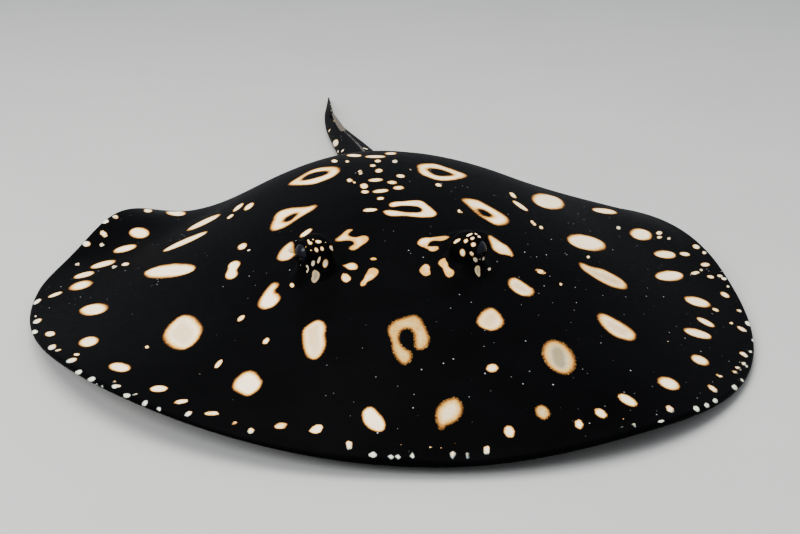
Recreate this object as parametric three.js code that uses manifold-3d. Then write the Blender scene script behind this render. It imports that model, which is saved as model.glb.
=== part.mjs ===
// A freshwater stingray lying on the bottom, life size, in millimetres.
// +Z is up, the snout points to -Y and the animal's left side is +X.
// The origin is on the floor, under the middle of the disc.
// The whole animal is modelled in one piece and then parted by thin cuts.
import * as THREE from "three";
import { mergeVertices } from "three/addons/utils/BufferGeometryUtils.js";
import Module from "manifold-3d";

const wasm = await Module();
wasm.setup();

// The disc, seen from above
const HALF_WIDTH = 232; // middle of the disc to either side
const SNOUT_LENGTH = 260; // middle of the disc to the snout
const REAR_LENGTH = 231; // middle of the disc to the root of the tail
const FRONT_FULLNESS = 2.2; // 2 is an ellipse, more is squarer
const REAR_FULLNESS = 1.95;
const SPREAD = [0.013, 0.021, 0.012]; // how much wider the left fin lies than the right

// The body, seen from the side and the front
const RIM = 4; // thickness of the disc's edge
const CREST = 83.5; // height of the back
const CREST_Y = 32;
const FOREHEAD_FALL = 0.85; // how fully the back falls to the snout
const RUMP_FALL = 1.01; // and to the tail
const LEFT_FLANK = 1.4; // how steeply each flank falls to the rim
const RIGHT_FLANK = 2.3;

// The edge of the disc rises off the floor in waves: bearing from the snout, spread, both in degrees, and lift
const WAVES = [
  { bearing: -40, spread: 34, lift: 18 },
  { bearing: -123, spread: 12, lift: 18.5 },
  { bearing: 110, spread: 28, lift: 17.5 },
  { bearing: 27, spread: 18, lift: 9.5 },
  { bearing: 180, spread: 22, lift: 5 },
];
const EDGE_LIFT = 1; // the least that the edge is raised
const FLAT_SHARE = 0.56; // share of the disc's radius that lies flat on the floor

// Eyes, on knobs that stand up from the head
const EYE_SPACING = 88; // between the middles of the two knobs
const EYE_Y = -117;
const KNOB_TOP = 82; // height above the floor
const KNOB_RADIUS = 10.5;
const EYEBALL_RADIUS = 7.2;
const EYE_OUT = 4.6; // the eyeball's centre, outwards and forwards from the knob's
const EYE_FORE = 1.5;
const SPIRACLE = { x: 49, y: -89, z: 66, turn: 28, half: [11, 6, 13] };

// Tail, sting and fins
const TAIL_ROOT_Y = 235;
const TAIL_END_Y = 604;
const TAIL_WIDTH = 46; // at its root
const TAIL_HEIGHT = 27;
const TAIL_BURIED = 62; // how far the tail reaches into the trunk
const TAIL_BEND = -34; // how far the tail swings to the animal's right
const FOLD_START_Y = 470; // the fin folds of the tail's end
const FOLD_HEIGHT = 4.5;
const FOLD_THICKNESS = 1.4;
const STING = { y: 392, length: 68, width: 6.4, thickness: 3.2, slope: 0.035 };
const PELVIC = { x: 48, y: 214, across: 33, along: 41, turn: 30, thick: 5.2, edge: 1.6 };

// Where the animal is parted
const GAP = 0.3;
const NECK_BOW = 14;
const CUTS = { neck: -54, tail_base: 246, tail_middle: 384, tail_tip: 480 };
const BODY_EDGE = [
  [60, -290], [74, -215], [84, -140], [86, -60], [78, 20], [66, 100], [52, 170], [37, 212], [30, 262],
]; // the seam between the body and the fins, on the left side

// Steps of the faceted surfaces
const BEARINGS = 72;
const TOP_RINGS = 15;
const TAIL_SIDES = 14;
const TAIL_STEPS = 23;
const EYE_SIDES = 12;

const { PI, sin, cos, abs, max, min, hypot, atan2 } = Math;
const radians = (degrees) => (degrees * PI) / 180;
const mix = (a, b, t) => a + (b - a) * t;

/** 0 before a, 1 after b and a smooth rise between them. */
function smoothRise(a, b, value) {
  const t = min(max((value - a) / (b - a), 0), 1);
  return t * t * (3 - 2 * t);
}

/** The angle between two bearings, from -180 to 180 degrees. */
const turnTo = (from, to) => ((to - from + 540) % 360) - 180;

// ---------------------------------------------------------------- shapes of the disc

/** Radius of the disc at a bearing, in radians from the snout round to the left. */
function discRadius(bearing) {
  const front = cos(bearing) > 0;
  const power = front ? FRONT_FULLNESS : REAR_FULLNESS;
  const length = front ? SNOUT_LENGTH : REAR_LENGTH;
  const across = abs(sin(bearing) / HALF_WIDTH) ** power;
  const along = abs(cos(bearing) / length) ** power;
  const lean = SPREAD.reduce((sum, share, i) => sum + share * sin((i + 1) * bearing), 1);
  return (across + along) ** (-1 / power) * lean;
}

/** How high the edge of the disc is raised at a bearing. */
function edgeLift(bearing) {
  const degrees = (bearing * 180) / PI;
  return WAVES.reduce(
    (sum, wave) => sum + wave.lift * Math.exp(-((turnTo(wave.bearing, degrees) / wave.spread) ** 2)),
    EDGE_LIFT,
  );
}

/** Height of the middle of the back along the body. */
function backHeight(y) {
  const forward = y < CREST_Y;
  const reach = forward ? CREST_Y + SNOUT_LENGTH : REAR_LENGTH - CREST_Y;
  const t = min(abs(y - CREST_Y) / reach, 1);
  return RIM + (CREST - RIM) * (1 - t * t) ** (forward ? FOREHEAD_FALL : RUMP_FALL);
}

/** Distance from the midline to the rim at y, found by halving on one side of the disc. */
function halfChord(y, side) {
  let [front, rear] = [0, PI];
  for (let i = 0; i < 24; i += 1) {
    const middle = (front + rear) / 2;
    if (-discRadius(side * middle) * cos(middle) < y) front = middle;
    else rear = middle;
  }
  return max(discRadius(side * front) * sin(front), 1e-3);
}

const bearingOf = (x, y) => atan2(x, -y);
const shareOf = (x, y) => min(hypot(x, y) / discRadius(bearingOf(x, y)), 1);

/** Height of the disc's underside. */
function underside(x, y) {
  return edgeLift(bearingOf(x, y)) * smoothRise(FLAT_SHARE, 1, shareOf(x, y));
}

/** Height of the disc's upper side. */
function upperside(x, y) {
  const across = min(abs(x) / halfChord(y, x < 0 ? -1 : 1), 1);
  const fall = (1 - across * across) ** (x < 0 ? RIGHT_FLANK : LEFT_FLANK);
  return RIM + (backHeight(y) - RIM) * fall + underside(x, y);
}

// ---------------------------------------------------------------- making solids

/** A geometry as a manifold solid, with only its positions kept. */
function solidOf(geometry) {
  const bare = geometry.clone();
  for (const name of Object.keys(bare.attributes)) {
    if (name !== "position") bare.deleteAttribute(name);
  }
  const merged = mergeVertices(bare, 1e-3);
  return new wasm.Manifold(
    new wasm.Mesh({
      numProp: 3,
      vertProperties: merged.attributes.position.array,
      triVerts: new Uint32Array(merged.index.array),
    }),
  );
}

/** A manifold solid as a geometry. */
function geometryOf(solid) {
  const mesh = solid.getMesh();
  const geometry = new THREE.BufferGeometry();
  geometry.setAttribute("position", new THREE.BufferAttribute(mesh.vertProperties, 3));
  geometry.setIndex(new THREE.BufferAttribute(mesh.triVerts, 1));
  geometry.computeVertexNormals();
  return geometry;
}

/** A closed skin through loops of points of one length, with a fan over the first loop and the last. */
function skinOver(loops) {
  const count = loops[0].length;
  const points = loops.flat();
  const faces = [];
  loops.slice(1).forEach((_, i) => {
    for (let j = 0; j < count; j += 1) {
      const [a, b] = [i * count + j, i * count + ((j + 1) % count)];
      faces.push(a, a + count, b, b, a + count, b + count);
    }
  });
  [loops[0], loops.at(-1)].forEach((loop, end) => {
    const middle = loop.reduce((sum, p) => sum.add(p), new THREE.Vector3()).divideScalar(count);
    const first = end ? (loops.length - 1) * count : 0;
    points.push(middle);
    for (let j = 0; j < count; j += 1) {
      const [a, b] = [first + j, first + ((j + 1) % count)];
      faces.push(points.length - 1, end ? b : a, end ? a : b);
    }
  });
  const geometry = new THREE.BufferGeometry().setFromPoints(points);
  geometry.setIndex(faces);
  return solidOf(geometry);
}

/** A thin flat body between an upper and a lower height, over an outline round a middle. */
function leaf({ middle, outline, upper, lower, topShares, bottomShares, bearings }) {
  const loop = (share, height) =>
    Array.from({ length: bearings }, (_, j) => {
      const bearing = (j / bearings) * 2 * PI;
      const reach = share * outline(bearing);
      const x = middle[0] + reach * sin(bearing);
      const y = middle[1] - reach * cos(bearing);
      return new THREE.Vector3(x, y, height(x, y));
    });
  const edge = (x, y) => mix(lower(x, y), upper(x, y), 0.45);
  return skinOver([
    ...topShares.map((share) => loop(share, upper)),
    loop(1, edge),
    ...bottomShares.map((share) => loop(share, lower)),
  ]);
}

/** A ball squeezed to half-sizes, turned about Z in degrees and moved. */
function ball(half, place, turn = 0, across = 8) {
  const geometry = new THREE.SphereGeometry(1, across, (across * 3) / 4);
  geometry.rotateX(PI / 2).scale(...half).rotateZ(radians(turn)).translate(...place);
  return solidOf(geometry);
}

/** An upright wall one gap thick along points in plan. */
function wall(points) {
  const offset = (side) =>
    points.map(([x, y], i) => {
      const [before, after] = [points[max(i - 1, 0)], points[min(i + 1, points.length - 1)]];
      const [dx, dy] = [after[0] - before[0], after[1] - before[1]];
      const step = (side * GAP) / 2 / hypot(dx, dy);
      return new THREE.Vector2(x - dy * step, y + dx * step);
    });
  const shape = new THREE.Shape([...offset(-1), ...offset(1).reverse()]);
  const geometry = new THREE.ExtrudeGeometry(shape, { depth: 200, bevelEnabled: false });
  return solidOf(geometry.translate(0, 0, -40));
}

// ---------------------------------------------------------------- the pieces

/** The disc: head, trunk and pectoral fins in one. */
function disc() {
  const rings = Array.from({ length: TOP_RINGS }, (_, i) => sin((((i + 1) / TOP_RINGS) * PI) / 2));
  return leaf({
    middle: [0, 0],
    outline: discRadius,
    upper: upperside,
    lower: underside,
    topShares: [0.04, ...rings.slice(0, -1), 0.994],
    bottomShares: [0.993, 0.95, 0.87, 0.77, 0.67, FLAT_SHARE],
    bearings: BEARINGS,
  });
}

const knobX = (side) => (side * EYE_SPACING) / 2;

/** A knob that carries an eye: a dome on a short neck that widens into the head. */
function eyeKnob(side) {
  const foot = upperside(knobX(side), EYE_Y);
  const dome = KNOB_TOP - KNOB_RADIUS - foot;
  const profile = [[0, -12], [18, -12], [16, -3], [13.2, 1.5], [11.4, 5.5], [KNOB_RADIUS, dome - 1]];
  for (let i = 1; i <= 5; i += 1) {
    const angle = (i / 5) * (PI / 2);
    profile.push([KNOB_RADIUS * cos(angle), dome + KNOB_RADIUS * sin(angle)]);
  }
  profile.at(-1)[0] = 0;
  const geometry = new THREE.LatheGeometry(
    profile.map(([radius, z]) => new THREE.Vector2(radius, z)),
    16,
  );
  return solidOf(geometry.rotateX(PI / 2).translate(knobX(side), EYE_Y, foot));
}

const eyeCentre = (side) => [
  knobX(side) + side * EYE_OUT,
  EYE_Y - EYE_FORE,
  KNOB_TOP - KNOB_RADIUS + 0.5,
];

function eyeball(side, extra = 0) {
  const radius = EYEBALL_RADIUS + extra;
  return ball([radius, radius, radius], eyeCentre(side), 0, EYE_SIDES);
}

/** The breathing hole behind an eye. */
function spiracle(side) {
  const { x, y, z, turn, half } = SPIRACLE;
  return ball(half, [side * x, y, z], side * turn, 10);
}

/** Share of the way from the tail's root to its end. */
const alongTail = (y) => (y - TAIL_ROOT_Y) / (TAIL_END_Y - TAIL_ROOT_Y);
const tailX = (y) => TAIL_BEND * smoothRise(TAIL_ROOT_Y - 10, TAIL_ROOT_Y + 285, y);
const tailTaper = (y) => max(1 - alongTail(y), 0) ** 1.3 + 0.045 * max(alongTail(y), 0);
const tailWidth = (y) => TAIL_WIDTH * tailTaper(y);
const tailHeight = (y) => TAIL_HEIGHT * (tailTaper(y) + 0.16 * sin(PI * max(alongTail(y), 0)));
const tailFloor = (y) => 0.7 * FOLD_HEIGHT * smoothRise(FOLD_START_Y - 20, FOLD_START_Y + 50, y);

/** The tail, a loft of ovals that are flattened where they lie on the floor. */
function tail() {
  const loops = Array.from({ length: TAIL_STEPS + 1 }, (_, i) => {
    const y = mix(TAIL_ROOT_Y - TAIL_BURIED, TAIL_END_Y, i / TAIL_STEPS);
    const [half, tall, floor] = [tailWidth(y) / 2, tailHeight(y), tailFloor(y)];
    return Array.from({ length: TAIL_SIDES }, (_, j) => {
      const angle = (j / TAIL_SIDES) * 2 * PI;
      const z = max(tall * (0.44 + 0.56 * sin(angle)), 0);
      return new THREE.Vector3(tailX(y) + half * cos(angle), y, floor + z);
    });
  });
  return skinOver(loops);
}

/** The fin folds above and below the tail's end: one upright blade along the tail. */
function finFold() {
  const steps = 12;
  const loops = Array.from({ length: steps + 1 }, (_, i) => {
    const y = mix(FOLD_START_Y, TAIL_END_Y - 2, i / steps);
    const rise = FOLD_HEIGHT * sin(PI * min(i / steps + 0.04, 0.97)) ** 0.6;
    const top = tailFloor(y) + tailHeight(y) + rise - 1;
    const half = (FOLD_THICKNESS / 2) * mix(1, 0.6, i / steps);
    const corners = [[-half, 0], [half, 0], [half * 0.6, top], [-half * 0.6, top]];
    return corners.map(([x, z]) => new THREE.Vector3(tailX(y) + x, y, z));
  });
  return skinOver(loops);
}

/** The sting: a flat spine that tapers backwards over the tail. */
function sting(extra = 0) {
  const steps = 7;
  const loops = Array.from({ length: steps + 1 }, (_, i) => {
    const t = i / steps;
    const y = mix(STING.y - extra, STING.y + STING.length + extra, t);
    const taper = (1 - t ** 2.2) ** 0.7 * 0.92 + 0.08;
    const half = (STING.width / 2) * taper + extra;
    const thick = (STING.thickness / 2) * taper + extra;
    const z = tailHeight(STING.y) - 0.4 + STING.slope * (y - STING.y);
    return Array.from({ length: 8 }, (_, j) => {
      const angle = (j / 8) * 2 * PI;
      return new THREE.Vector3(tailX(y) + half * cos(angle), y, z + thick * sin(angle));
    });
  });
  return skinOver(loops);
}

/** A pelvic fin: a rounded flap beside the tail's root, half under the disc. */
function pelvicFin(side, extra = 0) {
  const { x, y, across, along, turn, thick, edge } = PELVIC;
  const outline = (bearing) => {
    const turned = bearing - side * radians(turn);
    const power = 2.6;
    const sum = abs(sin(turned) / across) ** power + abs(cos(turned) / along) ** power;
    return sum ** (-1 / power) + extra;
  };
  const share = (px, py) => min(hypot(px - side * x, py - y) / outline(bearingOf(px - side * x, py - y)), 1);
  return leaf({
    middle: [side * x, y],
    outline,
    upper: (px, py) => mix(thick, edge, share(px, py) ** 2) + extra,
    lower: () => -extra,
    topShares: [0.3, 0.6, 0.85, 0.985],
    bottomShares: [0.97],
    bearings: 26,
  });
}

/** Mouth, nostrils, gill slits and vent: shallow hollows in the underside. */
function undersideHollows() {
  const hollows = [
    ball([21, 4.5, 3], [0, -172, 0], 0, 10),
    ball([8.5, 2.4, 1.6], [0, 148, 0], 90, 8),
  ];
  for (const side of [-1, 1]) {
    hollows.push(ball([5, 2.6, 2.2], [side * 19, -190, 0], side * -35));
    for (let i = 0; i < 5; i += 1) {
      const place = [side * mix(50, 36, i / 4), mix(-132, -74, i / 4), 0];
      hollows.push(ball([6.5 - 0.6 * i, 1.3, 1.6], place, side * mix(8, 30, i / 4), 6));
    }
  }
  return wasm.Manifold.union(hollows);
}

// ---------------------------------------------------------------- joining and parting

/** A smooth run of points through the seam between body and fin. */
function bodySeam(side) {
  const curve = new THREE.SplineCurve(BODY_EDGE.map(([x, y]) => new THREE.Vector2(side * x, y)));
  return curve.getSpacedPoints(18).map((point) => [point.x, point.y]);
}

/** The cut behind the head, bowed back in the middle, from seam to seam. */
function neckSeam() {
  const seam = bodySeam(1);
  const next = seam.findIndex(([, y]) => y > CUTS.neck);
  const [[x0, y0], [x1, y1]] = [seam[next - 1], seam[next]];
  const half = mix(x0, x1, (CUTS.neck - y0) / (y1 - y0));
  return Array.from({ length: 13 }, (_, i) => {
    const t = mix(-1, 1, i / 12);
    return [half * t, CUTS.neck + NECK_BOW * (1 - t * t)];
  });
}

/** The animal's flesh, joined into one solid and hollowed. */
function flesh() {
  const joined = [disc(), tail(), finFold()];
  const hollows = [undersideHollows(), sting(GAP)];
  for (const side of [-1, 1]) {
    joined.push(eyeKnob(side));
    hollows.push(eyeball(side, GAP), spiracle(side), pelvicFin(side, GAP));
  }
  return wasm.Manifold.union(joined).subtract(wasm.Manifold.union(hollows));
}

/** The pieces that the cuts leave, by name: each is the piece that holds the named point. */
function partedFlesh() {
  const across = (y) => wall([[tailX(y) - 60, y], [tailX(y) + 60, y]]);
  const cuts = [wall(bodySeam(-1)), wall(bodySeam(1)), wall(neckSeam())];
  cuts.push(across(CUTS.tail_base), across(CUTS.tail_middle), across(CUTS.tail_tip));
  const pieces = flesh().subtract(wasm.Manifold.union(cuts)).decompose();
  const inside = {
    head: [0, -160],
    trunk: [0, 60],
    pectoral_fin_left: [160, 0],
    pectoral_fin_right: [-160, 0],
    tail_base: [tailX(310), 310],
    tail_middle: [tailX(430), 430],
    tail_tip: [tailX(540), 540],
  };
  return Object.entries(inside).map(([name, [x, y]]) => {
    const probe = ball([1.5, 1.5, 1.5], [x, y, 6]);
    const piece = pieces.find((candidate) => candidate.intersect(probe).volume() > 0);
    return [name, piece];
  });
}

const MATERIALS = {
  skin: new THREE.MeshStandardMaterial({ color: 0x15141a, roughness: 0.5, metalness: 0 }),
  eye: new THREE.MeshStandardMaterial({ color: 0x0b0c10, roughness: 0.12, metalness: 0 }),
  sting: new THREE.MeshStandardMaterial({ color: 0xb7a684, roughness: 0.55, metalness: 0 }),
};

const stingray = new THREE.Group();

function addMesh(name, solid, material) {
  const mesh = new THREE.Mesh(geometryOf(solid), MATERIALS[material]);
  mesh.name = name;
  stingray.add(mesh);
}

for (const [name, solid] of partedFlesh()) addMesh(name, solid, "skin");
for (const [name, side] of [["left", 1], ["right", -1]]) {
  addMesh(`pelvic_fin_${name}`, pelvicFin(side), "skin");
  addMesh(`eye_${name}`, eyeball(side), "eye");
}
addMesh("tail_sting", sting(), "sting");

export default stingray;
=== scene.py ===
# %% [markdown]
# # A freshwater stingray, life size
#
# The animal lies on the bottom with its fins spread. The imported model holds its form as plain
# solids. This script dresses them: one seamless skin, spotted cream on black, two glossy eyes,
# the sting and the thorns of the tail. Everything is in the model's own frame: the snout points
# to -Y, the animal's left side is +X, and the floor is at height 0.

import math
import random

import bmesh
import bpy
import numpy as np
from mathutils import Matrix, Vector
from mathutils.bvhtree import BVHTree


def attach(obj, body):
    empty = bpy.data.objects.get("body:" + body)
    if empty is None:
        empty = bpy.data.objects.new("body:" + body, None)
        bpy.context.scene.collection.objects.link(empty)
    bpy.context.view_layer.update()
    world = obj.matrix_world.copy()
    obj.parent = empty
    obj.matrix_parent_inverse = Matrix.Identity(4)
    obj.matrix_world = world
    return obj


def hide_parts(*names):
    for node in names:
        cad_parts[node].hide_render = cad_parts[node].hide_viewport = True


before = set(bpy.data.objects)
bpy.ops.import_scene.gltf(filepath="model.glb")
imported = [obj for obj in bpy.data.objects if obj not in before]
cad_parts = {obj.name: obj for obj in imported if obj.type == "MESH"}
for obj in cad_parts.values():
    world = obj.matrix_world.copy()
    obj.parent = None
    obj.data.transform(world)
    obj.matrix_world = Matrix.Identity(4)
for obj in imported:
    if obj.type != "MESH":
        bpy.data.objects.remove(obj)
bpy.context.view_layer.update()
MM = 0.001  # one millimetre, in metres
PI = math.pi
print("solids:", sorted(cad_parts))

# %% [markdown]
# ## The camera
#
# The animal is seen from in front, a little above, as a diver sees it who lies on the bottom.
# The camera comes first, because the markings are laid out as it sees them: a point of the
# body has one place in its picture, and the picture's size is settled here once.
# A camera in Blender looks along its own -Z, so a turn about X raises the view to the horizon,
# less the pitch, and a turn about Z swings it to the side.

# %% The camera
PICTURE = (800, 534)  # width and height, in pixels
FOCAL_PIXELS = 1305
SENSOR_WIDTH = 36  # mm
CAMERA_PITCH = math.radians(19.7)  # below the horizon
CAMERA_YAW = math.radians(3.2)  # to the animal's left
CAMERA_AWAY = 832  # mm from the middle of the disc, measured along the view on the floor
CAMERA_ASIDE = 11.8
CAMERA_HEIGHT = 317

view_ahead = np.array([math.sin(CAMERA_YAW), math.cos(CAMERA_YAW), 0])
view_right = np.array([math.cos(CAMERA_YAW), -math.sin(CAMERA_YAW), 0])
camera_place = -CAMERA_AWAY * view_ahead + CAMERA_ASIDE * view_right
camera_place[2] = CAMERA_HEIGHT
view_axis = view_ahead * math.cos(CAMERA_PITCH) - np.array([0, 0, math.sin(CAMERA_PITCH)])
view_up = np.cross(view_right, view_axis)

camera_data = bpy.data.cameras.new("camera")
camera_data.sensor_width = SENSOR_WIDTH
camera_data.lens = FOCAL_PIXELS * SENSOR_WIDTH / PICTURE[0]
camera_data.clip_start = 0.02
camera = bpy.data.objects.new("camera", camera_data)
camera.location = camera_place * MM
camera.rotation_euler = (PI / 2 - CAMERA_PITCH, 0, -CAMERA_YAW)
bpy.context.scene.collection.objects.link(camera)
bpy.context.scene.camera = camera


def picture_place(points):
    """Where points, in mm, appear in the camera's picture, in pixels from its upper left."""
    away = points - camera_place
    depth = away @ view_axis
    across = PICTURE[0] / 2 + FOCAL_PIXELS * (away @ view_right) / depth
    down = PICTURE[1] / 2 - FOCAL_PIXELS * (away @ view_up) / depth
    return np.stack([across, down], axis=-1)


print("camera at", np.round(camera_place), "mm, lens", round(camera_data.lens, 1), "mm")

# %% [markdown]
# ## The form of the disc
#
# A ray's disc is a body with its breast fins grown round it. From above it is two half ovals,
# the front one fuller than the rear one. In height it is a low hill whose flanks run out into
# fins 4 mm thick, and the fins' edge lifts off the floor in slow waves. Each of these is a
# formula of the bearing from the snout or of the distance from the midline, with the sizes of
# the solids, so that the skin lies on them. NumPy works a formula out for all points at once.

# %% Sizes of the disc, in mm
HALF_WIDTH = 232
SNOUT_LENGTH = 260
REAR_LENGTH = 231
FRONT_FULLNESS = 2.2
REAR_FULLNESS = 1.95
SPREAD = (0.013, 0.021, 0.012)  # how much wider the left fin lies than the right
RIM = 4  # thickness of the disc's edge
CREST = 83.5  # height of the back
CREST_Y = 32
FOREHEAD_FALL = 0.85
RUMP_FALL = 1.01
LEFT_FLANK = 1.4
RIGHT_FLANK = 2.3
WAVES = (  # of the edge: bearing and spread in degrees, lift in mm
    (-40, 34, 18), (-123, 12, 18.5), (110, 28, 17.5), (27, 18, 9.5), (180, 22, 5),
)
EDGE_LIFT = 1
FLAT_SHARE = 0.56  # share of the radius that lies flat on the floor


def mix(a, b, t):
    return a + (b - a) * t


def smooth_rise(a, b, value):
    """0 before a, 1 after b and a smooth rise between them."""
    t = np.clip((value - a) / (b - a), 0, 1)
    return t * t * (3 - 2 * t)


def disc_radius(bearing):
    """Radius of the disc at a bearing, in radians from the snout round to the left."""
    front = np.cos(bearing) > 0
    power = np.where(front, FRONT_FULLNESS, REAR_FULLNESS)
    length = np.where(front, SNOUT_LENGTH, REAR_LENGTH)
    across = np.abs(np.sin(bearing) / HALF_WIDTH) ** power
    along = np.abs(np.cos(bearing) / length) ** power
    lean = 1 + sum(share * np.sin((i + 1) * bearing) for i, share in enumerate(SPREAD))
    return (across + along) ** (-1 / power) * lean


def edge_lift(bearing):
    """How high the edge of the disc is raised at a bearing."""
    raised = EDGE_LIFT
    for middle, spread, lift in WAVES:
        turn = (np.degrees(bearing) - middle + 180) % 360 - 180
        raised = raised + lift * np.exp(-((turn / spread) ** 2))
    return raised


def back_height(y):
    """Height of the middle of the back along the body."""
    forward = y < CREST_Y
    reach = np.where(forward, CREST_Y + SNOUT_LENGTH, REAR_LENGTH - CREST_Y)
    t = np.minimum(np.abs(y - CREST_Y) / reach, 1)
    return RIM + (CREST - RIM) * (1 - t * t) ** np.where(forward, FOREHEAD_FALL, RUMP_FALL)


round_bearings = np.linspace(0, PI, 721)  # every quarter of a degree, for measuring chords


def half_chord(y, side):
    """Distance from the midline to the rim at y, on one side of the disc."""
    radius = disc_radius(side * round_bearings)
    return np.interp(y, -radius * np.cos(round_bearings), radius * np.sin(round_bearings))


print("disc:", round(2 * HALF_WIDTH), "mm wide,", SNOUT_LENGTH + REAR_LENGTH, "mm long")

# %% [markdown]
# ## The form of the tail
#
# The tail is about as long as the disc's half length and a half more. It is flattened where it
# lies on the floor, bends a little to one side, and near its end carries a low fin fold above
# and below. Its width and height are a taper along y, so the same formulas serve the root,
# where the tail grows out of the back, and the free part behind it.

# %% Sizes of the tail, in mm
TAIL_ROOT_Y = 235
TAIL_END_Y = 604
TAIL_WIDTH = 46
TAIL_HEIGHT = 27
TAIL_BEND = -34  # how far the tail's end lies to one side
BEND_RUN = (-10, 285)  # mm behind the root between which the tail swings aside
TAPER_POWER = 1.3
TIP_SHARE = 0.045  # what is left of the root's size at the tip
TAIL_SWELL = 0.16  # how much taller than its taper the middle of the tail is
WIDEST_AT = 0.44  # height of the tail's widest line, as a share of its height
FOLD_START_Y = 470
FOLD_RUN = (-20, 50)  # mm from the fold's start between which the lower fold grows
FOLD_HEIGHT = 4.5
LOWER_FOLD = 0.7 * FOLD_HEIGHT


def along_tail(y):
    return (y - TAIL_ROOT_Y) / (TAIL_END_Y - TAIL_ROOT_Y)


def tail_x(y):
    start, end = BEND_RUN
    return TAIL_BEND * smooth_rise(TAIL_ROOT_Y + start, TAIL_ROOT_Y + end, y)


def tail_taper(y):
    t = along_tail(y)
    return np.maximum(1 - t, 0) ** TAPER_POWER + TIP_SHARE * np.maximum(t, 0)


def tail_width(y):
    return TAIL_WIDTH * tail_taper(y)


def tail_height(y):
    swell = TAIL_SWELL * np.sin(PI * np.clip(along_tail(y), 0, 1))
    return TAIL_HEIGHT * (tail_taper(y) + swell)


def tail_floor(y):
    """Height of the tail's underside above the tip of the lower fold."""
    start, end = FOLD_RUN
    return LOWER_FOLD * smooth_rise(FOLD_START_Y + start, FOLD_START_Y + end, y)


print("tail:", TAIL_END_Y - TAIL_ROOT_Y, "mm long,", TAIL_WIDTH, "mm wide at its root")

# %% [markdown]
# ## The upper side and the underside
#
# The upper side is the hill of the back, with the tail's root swelling out of it. The larger of
# two heights would leave a crease there, so a smooth maximum joins them: it follows the higher
# one and rounds the corner over a few millimetres. The head is dished a little between the eyes,
# and the breathing holes behind them sink into it.

# %% Heights of the two sides
TAIL_FILLET = 9  # mm over which the tail's root runs into the back
ROOT_SEEN_Y = 60  # in front of this the tail's root stays below the back
NOWHERE = -50  # a height well below the back
UNDER_TAIL_X = (31, 19)  # between these the underside settles on the floor under the tail
UNDER_TAIL_Y = (120, 165)
CROWN = {"y": -112, "across": 24, "along": 36, "deep": 2.6}  # the dish between the eyes
SPIRACLE = {"x": 49, "y": -89, "turn": 28, "half": (11.5, 6.5), "deep": 11, "lip": 1.3}


def smooth_max(a, b, fillet):
    gap = np.maximum(fillet - np.abs(a - b), 0) / fillet
    return np.maximum(a, b) + gap * gap * fillet / 4


def oval_share(x, y, place, turn, half):
    """Distance from an oval's middle as a share of its half size, the oval turned in degrees."""
    c, s = math.cos(math.radians(turn)), math.sin(math.radians(turn))
    dx, dy = x - place[0], y - place[1]
    return np.hypot((dx * c + dy * s) / half[0], (dy * c - dx * s) / half[1])


def underside(x, y):
    """Height of the belly and of the underside of the fins."""
    bearing = np.arctan2(x, -y)
    share = np.hypot(x, y) / disc_radius(bearing)
    under_tail = smooth_rise(*UNDER_TAIL_X, np.abs(x)) * smooth_rise(*UNDER_TAIL_Y, y)
    return edge_lift(bearing) * smooth_rise(FLAT_SHARE, 1, share) * (1 - under_tail)


def plain_upperside(x, y):
    """The hill of the back and the tail's root, without the head's details."""
    bearing = np.arctan2(x, -y)
    share = np.minimum(np.hypot(x, y) / disc_radius(bearing), 1)
    chord = np.where(x < 0, half_chord(y, -1), half_chord(y, 1))
    across = np.minimum(np.abs(x) / np.maximum(chord, 1e-3), 1)
    fall = (1 - across * across) ** np.where(x < 0, RIGHT_FLANK, LEFT_FLANK)
    raised = edge_lift(bearing) * smooth_rise(FLAT_SHARE, 1, share)
    hill = RIM + (back_height(y) - RIM) * fall + raised
    off = 2 * np.abs(x - tail_x(y)) / tail_width(y)
    oval = WIDEST_AT + (1 - WIDEST_AT) * np.sqrt(np.maximum(1 - off * off, 0))
    beside = 1.4 * np.maximum(off - 1, 0)
    root = np.where(y > ROOT_SEEN_Y, tail_height(y) * (oval - beside), NOWHERE)
    return smooth_max(hill, root, TAIL_FILLET)


def upperside(x, y):
    """Height of the back, with the dish of the crown and the breathing holes."""
    height = plain_upperside(x, y)
    across, along = x / CROWN["across"], (y - CROWN["y"]) / CROWN["along"]
    height = height - CROWN["deep"] * np.exp(-(across ** 2) - along ** 2)
    for side in (-1, 1):
        place = (side * SPIRACLE["x"], SPIRACLE["y"])
        share = oval_share(x, y, place, side * SPIRACLE["turn"], SPIRACLE["half"])
        lip = SPIRACLE["lip"] * np.exp(-(((share - 1.25) / 0.28) ** 2))
        height = height + lip - SPIRACLE["deep"] * smooth_rise(1.12, 0.55, share)
    return height


print("back at the crest:", round(float(upperside(0.0, CREST_Y)), 1), "mm high")

# %% [markdown]
# ## Knobs and eyes
#
# A stingray's eyes stand on knobs, so that it can look out while it lies buried. A knob is a
# dome on a short neck that flares into the head. The skin round its foot is stretched up over
# it: a point's distance from the knob's middle, in plan, becomes its distance along the knob's
# profile. Then the skin is pressed in where the eyeball sits and thickened to a lid round it.

# %% Sizes of the knobs and the eyes, in mm
EYE_SPACING = 88
EYE_Y = -117
KNOB_TOP = 82
KNOB_RADIUS = 10.5
KNOB_FOOT = 16.5  # where the flare has run out into the head
DOME_SHARE = 0.5  # share of the foot circle that is stretched over the dome
WAIST = 0.7  # how much narrower than the dome the neck is
WAIST_RUN = 0.45  # share of the neck that is narrower
FLARE_POWER = 1.8
EYEBALL_RADIUS = 7.2
EYE_OUT = 4.0  # the eyeball's middle, from the knob's: outwards, forwards and up
EYE_FORE = 2.6
EYE_UP = 0.5
EYE_OPENING = 50  # half angle between the lids, in degrees
UPPER_LID_HANGS = 9  # degrees by which the upper lid hangs lower
LID = 0.85  # thickness of the lids' edge
LID_RUN = (40, 12)  # degrees outside the opening between which the lids swell
LID_EDGE = (-3, 5)  # degrees from the opening over which the skin turns into the socket
SOCKET_DEPTH = 1.0


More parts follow.
